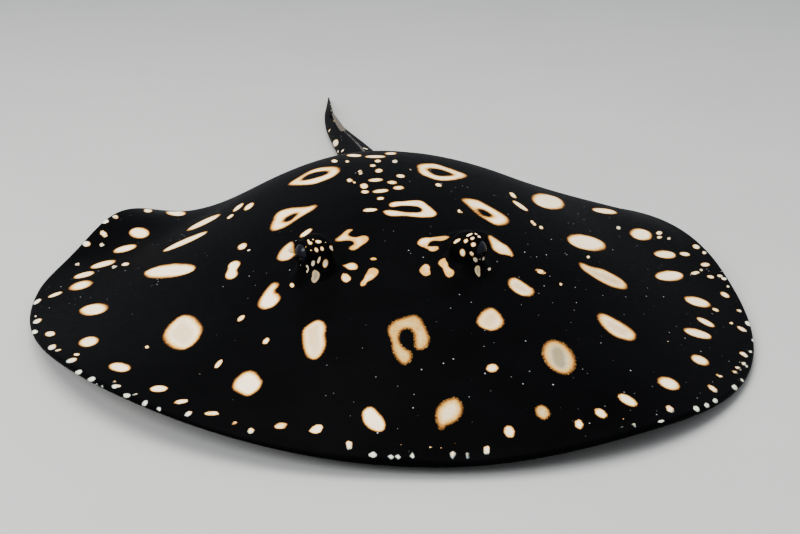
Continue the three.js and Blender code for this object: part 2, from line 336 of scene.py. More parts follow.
def knob_middle(side):
    return np.array([side * EYE_SPACING / 2, EYE_Y, KNOB_TOP - KNOB_RADIUS])


def eye_middle(side):
    return knob_middle(side) + np.array([side * EYE_OUT, -EYE_FORE, EYE_UP])


def eye_axis(side):
    """The direction that an eye looks in: outwards, a little forwards and up."""
    axis = np.array([side * 0.83, -0.54, 0.12])
    return axis / np.linalg.norm(axis)


def raise_knob(points, side):
    """Stretches the skin in the knob's foot circle up over the knob."""
    middle = knob_middle(side)
    off = points[:, :2] - middle[:2]
    share = np.hypot(off[:, 0], off[:, 1]) / KNOB_FOOT
    inside = share < 1
    off, share = off[inside], share[inside]
    heading = off / np.maximum(np.hypot(off[:, 0], off[:, 1]), 1e-6)[:, None]
    dome = np.minimum(share / DOME_SHARE, 1) * PI / 2
    neck = np.clip((share - DOME_SHARE) / (1 - DOME_SHARE), 0, 1)
    waist = -WAIST * np.sin(PI * np.minimum(neck / WAIST_RUN, 1))
    flare = (KNOB_FOOT - KNOB_RADIUS) * neck ** FLARE_POWER
    reach = KNOB_RADIUS * np.sin(dome) + waist + flare
    plan = middle[:2] + heading * reach[:, None]
    head = upperside(plan[:, 0], plan[:, 1])
    fall = 1 - (1 - neck) ** 2
    height = middle[2] + KNOB_RADIUS * np.cos(dome)
    points[inside, :2] = plan
    points[inside, 2] = np.where(share < DOME_SHARE, height, mix(middle[2], head, fall))


def press_socket(points, side):
    """Sinks the skin under the eyeball and thickens it to a lid round the opening."""
    middle = eye_middle(side)
    off = points - middle
    away = np.linalg.norm(off, axis=1)
    near = away < 2.2 * EYEBALL_RADIUS
    toward = off[near] / away[near, None]
    angle = np.degrees(np.arccos(np.clip(toward @ eye_axis(side), -1, 1)))
    angle = angle + UPPER_LID_HANGS * np.maximum(toward[:, 2], 0)
    sunk = EYEBALL_RADIUS - SOCKET_DEPTH
    outer, inner = (EYE_OPENING + angle_outside for angle_outside in LID_RUN)
    lid = EYEBALL_RADIUS + LID * smooth_rise(outer, inner, angle)
    start, end = (EYE_OPENING + angle_outside for angle_outside in LID_EDGE)
    opening = mix(sunk, lid, smooth_rise(start, end, angle))
    kept = np.where(angle > EYE_OPENING + 1, np.maximum(away[near], opening), opening)
    points[near] = middle + toward * kept[:, None]


print("knobs:", EYE_SPACING, "mm apart; eyeballs:", 2 * EYEBALL_RADIUS, "mm across")

# %% [markdown]
# ## Hollows of the underside
#
# The mouth, the nostrils with the folds of the skirt of skin between them, five gill slits on
# either side and the vent are on the underside. Each is an oval hollow, listed once with its
# place, turn and half size; the gill slits shrink and close in from the first to the last. The
# sheet of the underside is made finer round each of them.

# %% The hollows
MOUTH = {"place": (0, -172), "turn": 0, "half": (21, 4.2), "deep": 3.4}
VENT = {"place": (0, 148), "turn": 90, "half": (8.5, 2.4), "deep": 1.8}
NOSTRIL = {"place": (19, -190), "turn": -35, "half": (5.4, 2.8), "deep": 2.4}
SKIRT_FOLD = {"place": (21, -178), "turn": 62, "half": (6, 1.1), "deep": 1.2}
GILLS = 5
GILL_X, GILL_Y, GILL_TURN = (50, 36), (-132, -74), (8, 30)  # of the first and the last one
GILL_HALF = (6.8, 1.4)
GILL_SHRINK = 0.6  # mm by which each is shorter than the one before
GILL_DEEP = 1.8
HOLLOW_EDGE = 1.1  # share of its half size at which a hollow starts

hollows = [MOUTH, VENT]
for side in (-1, 1):
    for hollow in (NOSTRIL, SKIRT_FOLD):
        x, y = hollow["place"]
        hollows.append({**hollow, "place": (side * x, y), "turn": side * hollow["turn"]})
    for i in range(GILLS):
        t = i / (GILLS - 1)
        place, turn = (side * mix(*GILL_X, t), mix(*GILL_Y, t)), side * mix(*GILL_TURN, t)
        half = (GILL_HALF[0] - GILL_SHRINK * i, GILL_HALF[1])
        hollows.append({"place": place, "turn": turn, "half": half, "deep": GILL_DEEP})


def hollow_out(x, y, height):
    """Raises the underside into its hollows."""
    for hollow in hollows:
        share = oval_share(x, y, hollow["place"], hollow["turn"], hollow["half"])
        height = height + hollow["deep"] * np.sqrt(np.clip(HOLLOW_EDGE - share, 0, 1))
    return height


print(len(hollows), "hollows in the underside")

# %% [markdown]
# ## A sheet over a disc
#
# A fan of rings would crowd the points in the middle of the disc, so the skin starts as a
# square grid of even cells. The concentric map pushes the square's border out onto the disc's
# outline and keeps every cell about the same size. Where the form is finer, as on the knobs,
# the cells are cut smaller while the sheet is still flat. The underside has half as many.

# %% The flat sheets
UPPER_CELLS = 228  # across the upper side: cells of about 2 mm
LOWER_CELLS = UPPER_CELLS // 2
BORDER = 4 * UPPER_CELLS  # points round the upper sheet
EDGE_INSET = RIM / 2  # the sheets end where the rounded rim starts
KNOB_CUTS, SPIRACLE_CUTS, HOLLOW_CUTS = 3, 1, 3  # how often a cell's edges are cut there


def flat_places(cells):
    """Plan places of a square grid squeezed onto the disc."""
    steps = np.linspace(-1, 1, cells + 1)
    a, b = np.meshgrid(steps, steps, indexing="ij")
    wide = np.abs(a) > np.abs(b)
    share = np.where(wide, a, b)
    slope = np.where(wide, b, a) / np.where(share == 0, 1, share) * PI / 4
    angle = np.where(wide, slope, PI / 2 - slope)
    x, y = share * np.cos(angle), share * np.sin(angle)
    radius = disc_radius(np.arctan2(x, -y)) - EDGE_INSET
    return np.stack([x * radius, y * radius], axis=-1).reshape(-1, 2)


def border_walk(cells):
    """Grid numbers of the border's points, by rising bearing from the snout."""
    last = cells
    ids = [(i, 0) for i in range(cells // 2, last)] + [(last, j) for j in range(last)]
    ids += [(i, last) for i in range(last, 0, -1)] + [(0, j) for j in range(last, 0, -1)]
    ids += [(i, 0) for i in range(cells // 2)]
    return [i * (cells + 1) + j for i, j in ids]


def flat_sheet(cells, finer):
    """A bmesh of the grid, cut smaller inside circles of (x, y, radius, cuts)."""
    sheet = bmesh.new()
    points = [sheet.verts.new((x, y, 0)) for x, y in flat_places(cells)]
    for i in range(cells):
        for j in range(cells):
            first = i * (cells + 1) + j
            ring = (first, first + cells + 1, first + cells + 2, first + 1)
            sheet.faces.new([points[k] for k in ring])
    for x, y, radius, cuts in finer:
        middle = Vector((x, y, 0))
        edges = [
            edge for edge in sheet.edges
            if ((edge.verts[0].co + edge.verts[1].co) / 2 - middle).length < radius
        ]
        bmesh.ops.subdivide_edges(sheet, edges=edges, cuts=cuts, use_grid_fill=True)
    sheet.verts.index_update()
    places = np.array([vert.co[:2] for vert in sheet.verts])
    faces = [[vert.index for vert in face.verts] for face in sheet.faces]
    sheet.free()
    return places, faces, border_walk(cells)  # the grid's own points keep their numbers


upper_finer = []
for side in (-1, 1):
    upper_finer.append((side * EYE_SPACING / 2, EYE_Y, KNOB_FOOT + 1, KNOB_CUTS))
    upper_finer.append((side * SPIRACLE["x"], SPIRACLE["y"] + 2, 14, SPIRACLE_CUTS))
lower_finer = [(*hollow["place"], hollow["half"][0] + 3, HOLLOW_CUTS) for hollow in hollows[2:]]
lower_finer += [(x, MOUTH["place"][1], 9, HOLLOW_CUTS) for x in (-16, 0, 16)]  # three along the mouth
lower_finer.append((*VENT["place"], 11, HOLLOW_CUTS))
upper_places, upper_faces, upper_border = flat_sheet(UPPER_CELLS, upper_finer)
lower_places, lower_faces, lower_border = flat_sheet(LOWER_CELLS, lower_finer)
print("flat sheets:", len(upper_places), "and", len(lower_places), "points")

# %% [markdown]
# ## Raising the sheets
#
# Both sheets now get their heights, and the knobs and sockets are worked into the upper one.
# The flat places are kept beside the raised ones: they are the unwrap for the colour, and they
# stay even where the skin climbs a knob.

# %% The raised sheets
upper_points = np.column_stack([upper_places, upperside(*upper_places.T)])
for side in (-1, 1):
    raise_knob(upper_points, side)
    press_socket(upper_points, side)
lower_heights = hollow_out(*lower_places.T, underside(*lower_places.T))
lower_points = np.column_stack([lower_places, lower_heights])
print("highest point of the skin:", round(float(upper_points[:, 2].max()), 1), "mm")

# %% [markdown]
# ## One skin
#
# The sheets are joined by a rounded rim. Behind, between a pair of bearings, the rim is left
# open, and the tail is drawn out of that opening as a tube: its first ring is the opening's own
# edge, and over the first 30 mm the rings change into the tail's oval. So disc and tail are one
# surface with no seam. A small class gathers points, faces and each corner's place on the
# unwrap, which is in millimetres for now.

# %% Points, faces and their unwrap
RIM_RINGS = 5  # rings round the edge, between the two sheets
OPENING = 12  # border points on either side of the midline that belong to the tail
TAIL_STEP = 2.3
TAIL_RUN_OUT = 30  # mm over which the opening's shape becomes the tail's oval


class Shell:
    """Points and faces of a mesh in the making, with the unwrap of each face's corners."""

    def __init__(self):
        self.points, self.faces, self.unwrap, self.islands = [], [], [], []

    def add_points(self, places):
        """Adds points and gives their numbers."""
        first = len(self.points)
        self.points.extend(tuple(map(float, place)) for place in places)
        return list(range(first, len(self.points)))

    def add_face(self, corners, unwrap, island):
        self.faces.append(corners)
        self.unwrap.append(unwrap)
        self.islands.append(island)

    def add_wall(self, loops, island, flipped=False, as_plan=False):
        """Adds the faces between rings, unwrapped as a grid of the rings or as their plan."""
        around = len(loops[0])
        for i, (ring, following) in enumerate(zip(loops, loops[1:])):
            for j in range(around):
                n = (j + 1) % around
                corners = [ring[j], following[j], following[n], ring[n]]
                unwrap = [(j, i), (j, i + 1), (j + 1, i + 1), (j + 1, i)]
                if as_plan:
                    unwrap = [self.points[k][:2] for k in corners]
                if flipped:
                    corners, unwrap = corners[:1] + corners[:0:-1], unwrap[:1] + unwrap[:0:-1]
                self.add_face(corners, unwrap, island)

    def drop_loose_points(self):
        used = sorted({k for face in self.faces for k in face})
        renumbered = dict(zip(used, range(len(used))))
        self.points = [self.points[k] for k in used]
        self.faces = [[renumbered[k] for k in face] for face in self.faces]


skin = Shell()
upper_ids = skin.add_points(upper_points)
lower_ids = skin.add_points(lower_points)
for face in upper_faces:
    skin.add_face([upper_ids[k] for k in face], [upper_places[k] for k in face], "back")
for face in lower_faces:
    face = face[::-1]
    skin.add_face([lower_ids[k] for k in face], [lower_places[k] for k in face], "belly")
print("sheets:", len(skin.faces), "faces")

# %% The rounded rim
bearings = np.arange(BORDER) * 2 * PI / BORDER
outwards = np.stack([np.sin(bearings), -np.cos(bearings)], axis=-1)
border_places = upper_places[upper_border]
top_edge = upper_points[upper_border][:, 2]
bottom_edge = hollow_out(*border_places.T, underside(*border_places.T))
rings = [[upper_ids[k] for k in upper_border]]
for i in range(1, RIM_RINGS + 1):
    angle = PI / 2 - PI * i / (RIM_RINGS + 1)
    plan = border_places + outwards * EDGE_INSET * math.cos(angle)
    height = mix(bottom_edge, top_edge, (1 + math.sin(angle)) / 2)
    rings.append(skin.add_points(np.column_stack([plan, height])))
ring_step = PI * EDGE_INSET / (RIM_RINGS + 1)


def rim_unwrap(ring, k):
    """The place on the unwrap of border point k on a ring, the rings laid out one by one."""
    return border_places[k % BORDER] + outwards[k % BORDER] * ring_step * ring


def in_opening(k):
    """Whether the rim between border points k and k + 1 is left open for the tail."""
    return BORDER // 2 - OPENING <= k < BORDER // 2 + OPENING


for i in range(RIM_RINGS):
    for k in range(BORDER):
        if not in_opening(k):
            steps = ((i, k), (i + 1, k), (i + 1, (k + 1) % BORDER), (i, (k + 1) % BORDER))
            corners = [rings[ring][step] for ring, step in steps]
            skin.add_face(corners, [rim_unwrap(*step) for step in steps], "back")
for k in range(0, BORDER, 2):  # two cells of the last ring meet one of the underside
    if not in_opening(k):
        a, b, c = (rings[-1][(k + s) % BORDER] for s in range(3))
        d, e = (lower_ids[lower_border[(k // 2 + s) % (BORDER // 2)]] for s in range(2))
        unwrap = {corner: rim_unwrap(RIM_RINGS, k + s) for s, corner in enumerate((a, b, c))}
        unwrap |= {d: rim_unwrap(RIM_RINGS + 1, k), e: rim_unwrap(RIM_RINGS + 1, k + 2)}
        for corners in ([a, d, b], [b, d, e], [b, e, c]):
            skin.add_face(corners, [unwrap[corner] for corner in corners], "back")
print("rim:", BORDER, "points round,", len(skin.faces), "faces so far")

# %% The tail
left, right = BORDER // 2 - OPENING, BORDER // 2 + OPENING
opening = [rings[0][k] for k in range(left, right + 1)]
opening += [rings[i][right] for i in range(1, RIM_RINGS + 1)]
opening += [lower_ids[lower_border[k // 2]] for k in range(right, left - 1, -2)]
opening += [rings[i][left] for i in range(RIM_RINGS, 0, -1)]
turn_stops = (14, 166, 194, 346, 374)  # degrees round the oval: top, right, bottom, left
turn_counts = (2 * OPENING + 1, RIM_RINGS, OPENING + 1, RIM_RINGS)
turns = []
for part, count in enumerate(turn_counts):
    at_side = part % 2  # the corners belong to the top and the bottom
    stops = np.linspace(turn_stops[part], turn_stops[part + 1], count + 2 * at_side)
    turns.extend(stops[1:-1] if at_side else stops)
turns = np.radians(turns)
AROUND = len(turns)
CREASE_HALF = (1.1, 0.7)  # half thickness of the folds at their start and at the tip


def tail_ring(y):
    """The tail's oval at y, with its fin folds drawn out above and below."""
    x = tail_width(y) / 2 * np.cos(turns)
    tall, floor = tail_height(y), tail_floor(y)
    z = floor + np.maximum(tall * (WIDEST_AT + (1 - WIDEST_AT) * np.sin(turns)), 0)
    t = np.clip((y - FOLD_START_Y) / (TAIL_END_Y - FOLD_START_Y), 0, 1)
    crease = np.exp(-((x / mix(*CREASE_HALF, t)) ** 4))
    rise = FOLD_HEIGHT * math.sin(PI * min(t + 0.04, 0.97)) ** 0.6 * smooth_rise(0, 0.06, t)
    raised = z + crease * (rise - 1) * (t > 0)
    z = np.where(np.sin(turns) > 0, raised, mix(z, 0, crease * (t > 0)))
    return np.column_stack([tail_x(y) + x, np.full(AROUND, y), z])


start = np.array([skin.points[k] for k in opening])
tail_ys = np.arange(REAR_LENGTH + TAIL_STEP, TAIL_END_Y, TAIL_STEP)
loops = [opening]
for y in tail_ys:
    carried = start + np.array([tail_x(y) - tail_x(REAR_LENGTH), y - REAR_LENGTH, 0])
    ring = mix(carried, tail_ring(y), smooth_rise(0, TAIL_RUN_OUT, y - REAR_LENGTH))
    loops.append(skin.add_points(ring))
skin.add_wall(loops, "tail")
[tip] = skin.add_points([(tail_x(TAIL_END_Y), TAIL_END_Y, tail_floor(TAIL_END_Y) + 1)])
last = len(loops) - 1
for j in range(AROUND):
    corners = [loops[-1][j], tip, loops[-1][(j + 1) % AROUND]]
    skin.add_face(corners, [(j, last), (j, last + 1), (j + 1, last)], "tail")
print("tail:", len(loops), "rings of", AROUND, "points")

# %% [markdown]
# ## Pelvic fins
#
# Two rounded flaps stick out from under the disc beside the tail's root. Each is a thin leaf,
# made of rings that grow from its middle, turn over its edge and close again below. Faint
# ridges run out over it, as its fin rays do.

# %% The pelvic fins
PELVIC = {"x": 48, "y": 214, "across": 33, "along": 41, "turn": 30, "thick": 5.2, "edge": 1.6}
PELVIC_POWER = 2.6
PELVIC_BEARINGS = 96
PELVIC_RAYS = 26
RAY_HEIGHT = 0.22
PELVIC_TOP = (0.02, 0.15, 0.3, 0.45, 0.6, 0.72, 0.82, 0.9, 0.96, 0.988)  # rings, as shares of the reach
PELVIC_UNDER = (0.988, 0.9, 0.6, 0.3, 0.02)


def pelvic_ring(side, share, sunk):
    """A ring of the fin at a share of its reach; sunk goes from 0 on top to 1 below."""
    bearing = np.arange(PELVIC_BEARINGS) * 2 * PI / PELVIC_BEARINGS
    turned = bearing - side * math.radians(PELVIC["turn"])
    across = np.abs(np.sin(turned) / PELVIC["across"]) ** PELVIC_POWER
    along = np.abs(np.cos(turned) / PELVIC["along"]) ** PELVIC_POWER
    reach = share * (across + along) ** (-1 / PELVIC_POWER)
    ridges = RAY_HEIGHT * np.cos(PELVIC_RAYS * bearing) * share
    top = mix(PELVIC["thick"], PELVIC["edge"], share ** 2) + ridges
    x = side * PELVIC["x"] + reach * np.sin(bearing)
    y = PELVIC["y"] - reach * np.cos(bearing)
    return np.column_stack([x, y, top * (1 - sunk)])


for side, name in ((-1, "right"), (1, "left")):
    steps = [(share, 0) for share in PELVIC_TOP] + [(1, 0.25), (1, 0.75)]
    steps += [(share, 1) for share in PELVIC_UNDER]
    loops = [skin.add_points(pelvic_ring(side, share, sunk)) for share, sunk in steps]
    edge = len(PELVIC_TOP) + 1  # the last ring that belongs to the top
    skin.add_wall(loops[:edge + 1], "pelvic_top_" + name, as_plan=True)
    skin.add_wall(loops[edge:], "pelvic_under_" + name, as_plan=True)
    for loop, island in ((loops[0], "pelvic_top_"), (loops[-1][::-1], "pelvic_under_")):
        skin.add_face(loop, [skin.points[k][:2] for k in loop], island + name)
print("skin:", len(skin.points), "points,", len(skin.faces), "faces")

# %% [markdown]
# ## The skin's mesh and its unwrap
#
# The gathered points become one mesh in metres. Each island of the unwrap is shrunk into its
# own box of the square: the back gets most of the room, because it carries the markings.

# %% The mesh
ISLAND_BOXES = {  # lowest corner and size of each island's box on the unwrap
    "back": (0.005, 0.27, 0.70, 0.725),
    "belly": (0.72, 0.70, 0.275, 0.29),
    "tail": (0.005, 0.005, 0.14, 0.25),
    "pelvic_top_left": (0.16, 0.14, 0.10, 0.12),
    "pelvic_top_right": (0.27, 0.14, 0.10, 0.12),
    "pelvic_under_left": (0.38, 0.14, 0.10, 0.12),
    "pelvic_under_right": (0.49, 0.14, 0.10, 0.12),
}


def mesh_of(shell, name, boxes):
    """A smooth-shaded mesh of a shell, with its unwrap fitted into each island's box."""
    mesh = bpy.data.meshes.new(name)
    mesh.from_pydata([tuple(v * MM for v in p) for p in shell.points], [], shell.faces)
    corners = np.array([uv for face in shell.unwrap for uv in face], float)
    counts = [len(face) for face in shell.unwrap]
    owners = np.repeat(np.array(shell.islands), counts)
    for island, (u, v, width, height) in boxes.items():
        mine = owners == island
        low, high = corners[mine].min(0), corners[mine].max(0)
        corners[mine] = (corners[mine] - low) / (high - low) * (width, height) + (u, v)
    layer = mesh.uv_layers.new(name="OFBake")
    layer.data.foreach_set("uv", corners.astype(np.float32).ravel())
    mesh.polygons.foreach_set("use_smooth", [True] * len(mesh.polygons))
    mesh.update()
    return mesh


def show(mesh, name):
    """An object for a mesh, at the origin."""
    piece = bpy.data.objects.new(name, mesh)
    bpy.context.scene.collection.objects.link(piece)
    return piece


skin.drop_loose_points()
ray_skin = show(mesh_of(skin, "ray_skin", ISLAND_BOXES), "ray_skin")
skin_mesh = ray_skin.data
triangles = sum(len(face.vertices) - 2 for face in skin_mesh.polygons)
print("skin:", triangles, "triangles")

# %% [markdown]
# ## The markings
#
# Each animal has its own pattern: large cream spots on the back, some of them rings or hooks,
# and rows of small ones along the fins' edge. They are read in the camera's picture, in pixels.
# A plain spot is an oval: middle across and down, length, breadth, and a tilt in degrees that
# sinks to the right. An odd one is an outline of a few corners, which are rounded off later.

# %% Plain spots of the front and the breast fins
FRONT_SPOTS = (
    (492.2, 368.1, 15, 10, 0), (509.4, 431.6, 15, 12.5, 50), (266, 341, 10, 6, -40),
    (241, 318.3, 10.5, 5.3, -35), (218.5, 363.9, 12.5, 5.5, -45), (292, 285.2, 5.3, 5.3, 0),
    (147, 347, 5, 4.5, 0), (588.1, 257, 3.2, 3.2, 0), (540.6, 271.5, 13.5, 5, 18),
    (560.7, 284, 6.5, 3.2, 32), (586.5, 242.6, 42, 15.5, 14),
)
DUSKY_SPOTS = ((559, 357.3, 42, 29.5, 45),)
RIGHT_FIN_SPOTS = (
    (169.6, 270.9, 54, 14.5, -8), (185.3, 241.4, 51, 5.5, -24), (203.8, 222.3, 39, 5.2, -26),
    (238.3, 207.3, 15, 3.8, -36), (248.9, 206.5, 14, 5, -34), (230.3, 216.5, 9.5, 3, -33),
    (242.3, 246.4, 12, 6.5, -28), (139.3, 232.9, 22, 12, 0), (125, 248.6, 26.5, 7, -15),
    (103.1, 264.2, 28.5, 6, -15), (83.9, 275, 24, 5.5, -14), (80.8, 285.4, 27, 8.5, -15),
    (93.8, 309.4, 31.5, 12, -10), (88.6, 341.7, 22.5, 10.5, -12), (119.8, 367.3, 24.5, 10.6, 3),
    (158.8, 388.7, 20, 7.5, -3), (181.2, 401.6, 16.5, 4.8, -8), (211.7, 413.4, 16.5, 5, 0),
    (175.9, 212.9, 22, 6.5, 3), (148, 210.6, 10, 5, 0), (110.7, 215.4, 7, 4.5, 10),
    (104.5, 221.1, 9, 5.5, 0), (103.6, 233.8, 10, 6, 40), (86.6, 243.9, 9, 6.5, 0),
    (125.4, 264.2, 9, 3.5, -12),
)
LEFT_FIN_SPOTS = (
    (548, 201.4, 36, 15, 15), (604.5, 211, 27, 5.5, 9), (640.9, 234.4, 25, 11.8, 13),
    (659.2, 232.9, 7, 4, 0), (659.4, 237.2, 6, 3, 0), (665, 254.4, 24, 8.6, 8),
    (684.8, 254, 12.5, 4.5, 12), (696, 246.7, 9, 4.6, 20), (704.2, 252.7, 5, 3.3, 20),
    (705.2, 264.6, 10.5, 4.5, 5), (669.3, 275.9, 30, 11.3, 2), (695.1, 272.9, 10, 4, -8),
    (710.6, 276.8, 9, 3.6, 14), (719.7, 275.8, 6.5, 3, 10), (724, 278.7, 6, 3.2, 12),
    (725, 294.8, 12.5, 5, 27), (697.5, 301.8, 29, 9.5, 17), (705.8, 322.2, 23, 5.8, 27),
    (697.5, 333.4, 31, 8.8, 17), (699.9, 360.1, 22, 9.5, 24), (668.6, 383.4, 27, 12.5, 22),
    (627.6, 400.3, 25, 10.5, 28), (715.6, 309.8, 9, 3.5, 24),
)
print("plain spots:", len(FRONT_SPOTS + DUSKY_SPOTS + RIGHT_FIN_SPOTS + LEFT_FIN_SPOTS))

# %% Small spots along the edge
RIGHT_EDGE_SPOTS = (
    (55.2, 294.6, 17, 3.6, -19), (37.2, 301.6, 9.5, 3.8, -31), (37.4, 321.1, 10.5, 4.5, -20),
    (34.6, 331.8, 7.5, 4, -12), (50.1, 333.8, 12, 5.5, -6), (52.3, 347, 10, 5.3, -20),
    (58.3, 350.1, 7.5, 2.4, -12), (76.7, 354.4, 7, 3.4, -8), (71.7, 360.3, 13, 4.8, -15),
    (78.5, 372.3, 9, 4.7, -22), (91.3, 379.3, 9, 5, -22), (102.4, 386.2, 4, 2.8, 0),
    (113.9, 381.6, 6.2, 2.5, 0), (114.4, 386.3, 6, 5, 0), (118.9, 385.8, 5, 3.4, 0),
    (126.6, 395.6, 8.5, 5, -8), (135.4, 394.4, 6.5, 2.4, -8), (144.8, 403.3, 8.3, 5.2, -45),
    (158.9, 409, 5, 5, 0), (188.5, 413.6, 10, 4.8, -33), (234.5, 423.1, 8.5, 4.5, 0),
    (251, 430.6, 8.5, 6.5, -15), (281, 425.7, 16, 7.7, -4), (349, 443.4, 8, 7, 0), (349.4, 448, 5.5, 7, 0),
    (372.8, 454.6, 9.4, 7, 0), (390.6, 457, 7, 5.5, 0), (397.8, 457, 6.5, 5.5, 0),
    (400, 444.7, 3.6, 3.6, 0), (411.2, 454.3, 9.5, 5.2, 62), (421.7, 452.8, 6, 3, 55),
    (431.1, 447.1, 5.5, 3.4, 30),
)
LEFT_EDGE_SPOTS = (
    (441.6, 448.3, 4, 2.8, -10), (454.1, 442.6, 2.8, 6, 0), (452.7, 455, 8, 8.5, 0),
    (467.7, 455.6, 7.5, 6.5, 15), (486.7, 448.2, 7.3, 7, 0), (486.7, 453, 6.8, 6, 0),
    (579, 424.3, 12.5, 10, 50), (600.9, 413.3, 17.5, 9.5, 28), (624.7, 419.4, 7, 3, 47),
    (621.2, 426.7, 3.6, 3.6, 0), (634.4, 425.2, 7, 4.5, 0), (661, 421.3, 7, 2.8, -15),
    (669.8, 408.8, 11.5, 6.8, 30), (696.3, 408.6, 8.8, 5, 42), (706.9, 405.3, 6.5, 5, 45),
    (715.3, 400.8, 6.3, 4.8, 40), (712.6, 388.5, 14.5, 5.5, 32), (734.7, 387.2, 9.5, 4.6, 48),
    (742.2, 380.2, 6, 2.5, 45), (719.4, 375.8, 10, 3.2, 25), (734.7, 371.9, 9.5, 2.8, 28),
    (738, 368, 9, 3, 32), (744.1, 363.9, 10.5, 3.5, 40), (743.5, 354.3, 11.5, 3.9, 32),
    (749.7, 351.1, 6.5, 2.4, 30), (741.9, 329, 12.5, 4, 28), (748.1, 323.5, 8.5, 4, 33),
    (731, 323.2, 5, 3.2, 10), (738.9, 310.6, 6.5, 3.2, 28), (753.2, 340.4, 5, 2.4, 45),
    (733.4, 286.3, 4, 3, 0),
)
FAINT_SPOTS = (
    (96.4, 384.4, 2, 2, 0), (101.8, 244.8, 5, 4.2, 0), (77.2, 264.2, 5, 3.6, 0), (114.3, 266.9, 5, 3.2, 0),
    (618.5, 227.7, 4.4, 4, 0), (668.9, 238.5, 4, 3, 0), (701.2, 269.9, 4, 2.8, 0),
    (637, 284.1, 2.4, 2.4, 0), (174.6, 365.4, 3, 1.8, 35), (199.4, 374.5, 2.2, 2.2, 0),
    (362.2, 402.9, 2, 2, 0), (265.5, 314.5, 2.2, 2.2, 0), (248.9, 250.4, 2.4, 2.4, 0),
    (620.2, 347.7, 2.2, 2.2, 0), (668.3, 341.6, 2.4, 2.2, 0), (506.3, 359, 2.4, 2.2, 0),
    (410.4, 169.7, 2.6, 2.2, 0), (394.8, 161.4, 5.7, 3.4, 0), (28.9, 316.6, 3.5, 2.4, -20),
)
print("small spots:", len(RIGHT_EDGE_SPOTS + LEFT_EDGE_SPOTS + FAINT_SPOTS))

# %% Plain spots of the back, the brows and the knobs
BACK_SPOTS = (
    (305.9, 233, 17, 5, -33), (512.9, 195.2, 10, 4, 38), (520.3, 205.8, 20.6, 4.2, 33),
    (533.2, 223, 8, 3.6, 42), (541.4, 227.8, 6.5, 3.3, 42), (459.5, 211.2, 8.5, 3.2, 25),
    (438.5, 185, 8, 3.8, 15), (334.4, 161, 7.5, 3.4, 0), (347.4, 161.5, 4.6, 2.6, 0),
    (354, 155.4, 17, 3, 0), (375.4, 156.6, 23, 3, 0), (390.7, 153.4, 14, 2.6, 0), (377.7, 161, 8, 3, 0),
    (372.7, 165.6, 7.5, 3, 0), (378.8, 170.7, 9.5, 4.4, -3), (360.4, 172.4, 5, 5, 0),
    (349.7, 180.3, 7, 4, 0), (354.5, 182, 4, 3, 0), (400.5, 176, 10.5, 4, 5), (375.7, 180, 17, 4, -3),
    (392.2, 182.4, 12.5, 4, 3), (364, 186, 10, 6, 0), (398.6, 187.8, 14, 4.6, 0), (365, 191.8, 10, 4, 0),
    (380.7, 191, 18.5, 4.3, -5), (380.4, 198.4, 9.5, 3.6, -3), (370, 210, 17, 4, -3),
)
BROW_SPOTS = ((373.5, 258.8, 9, 4, 0),)
TAIL_SPOTS = ((335.5, 143, 6.5, 8.5, 25), (338, 151.5, 3.5, 3, 0))
KNOB_SPOTS = (
    (310.1, 243, 6, 3.8, 15), (318.3, 241.7, 7.5, 3.8, 8), (308.4, 240, 3.2, 1.8, -25),
    # The first two ovals of the next line are painted glints: highlights of the eye, laid on the skin as
    # spots.
    (313.3, 239.4, 2.6, 1.8, 0), (305.7, 247.3, 3.6, 2, -40), (310.8, 250.5, 3, 2.2, 0),
    (316.4, 249.9, 6.2, 4.3, 50), (322.1, 248.7, 5.8, 4.3, 65), (332.1, 248.4, 9, 4.5, 47),
    (318.9, 260.2, 8.5, 3.2, -68), (325.4, 263.3, 10.3, 6.6, -78), (469.4, 234.8, 7.3, 2.3, -25),
    (476, 233.9, 3.8, 1.9, 20), (479.4, 236.6, 5.8, 3.4, -5), (472.3, 238.4, 5.2, 3.5, -20),
    (465.9, 241, 5.8, 4.4, -32), (456.9, 241, 9.6, 3.3, -34), (473.3, 244.6, 6.4, 5.6, 0),
    (480.3, 245.5, 3, 2.3, 0), (462.6, 252.8, 8.8, 6.8, 72), (471.8, 253.9, 6.6, 4.2, 50),
    (479.2, 252.3, 5.4, 3.1, 65),
)
# Greyer knob spots: a few are faint, and on most, low on the knob, the grey is painted shade.
FAINT_AND_SHADED_KNOB_SPOTS = (
    (325.6, 242.2, 2, 1.4, 10), (313.1, 263.3, 6.5, 4.3, -75), (306.8, 265.8, 5.3, 1.9, 45),
    (307.6, 270.7, 4.6, 1.9, -65), (482.1, 242.5, 2.8, 2, 0), (475.4, 259.6, 6, 4.3, 48),
    (479.6, 258, 3.3, 1.9, 65), (483.5, 258.5, 4.6, 2.2, -70), (489.3, 269.1, 3.5, 3.3, 0),
)
print("back and head:", len(BACK_SPOTS + BROW_SPOTS + KNOB_SPOTS + FAINT_AND_SHADED_KNOB_SPOTS), "plain spots")

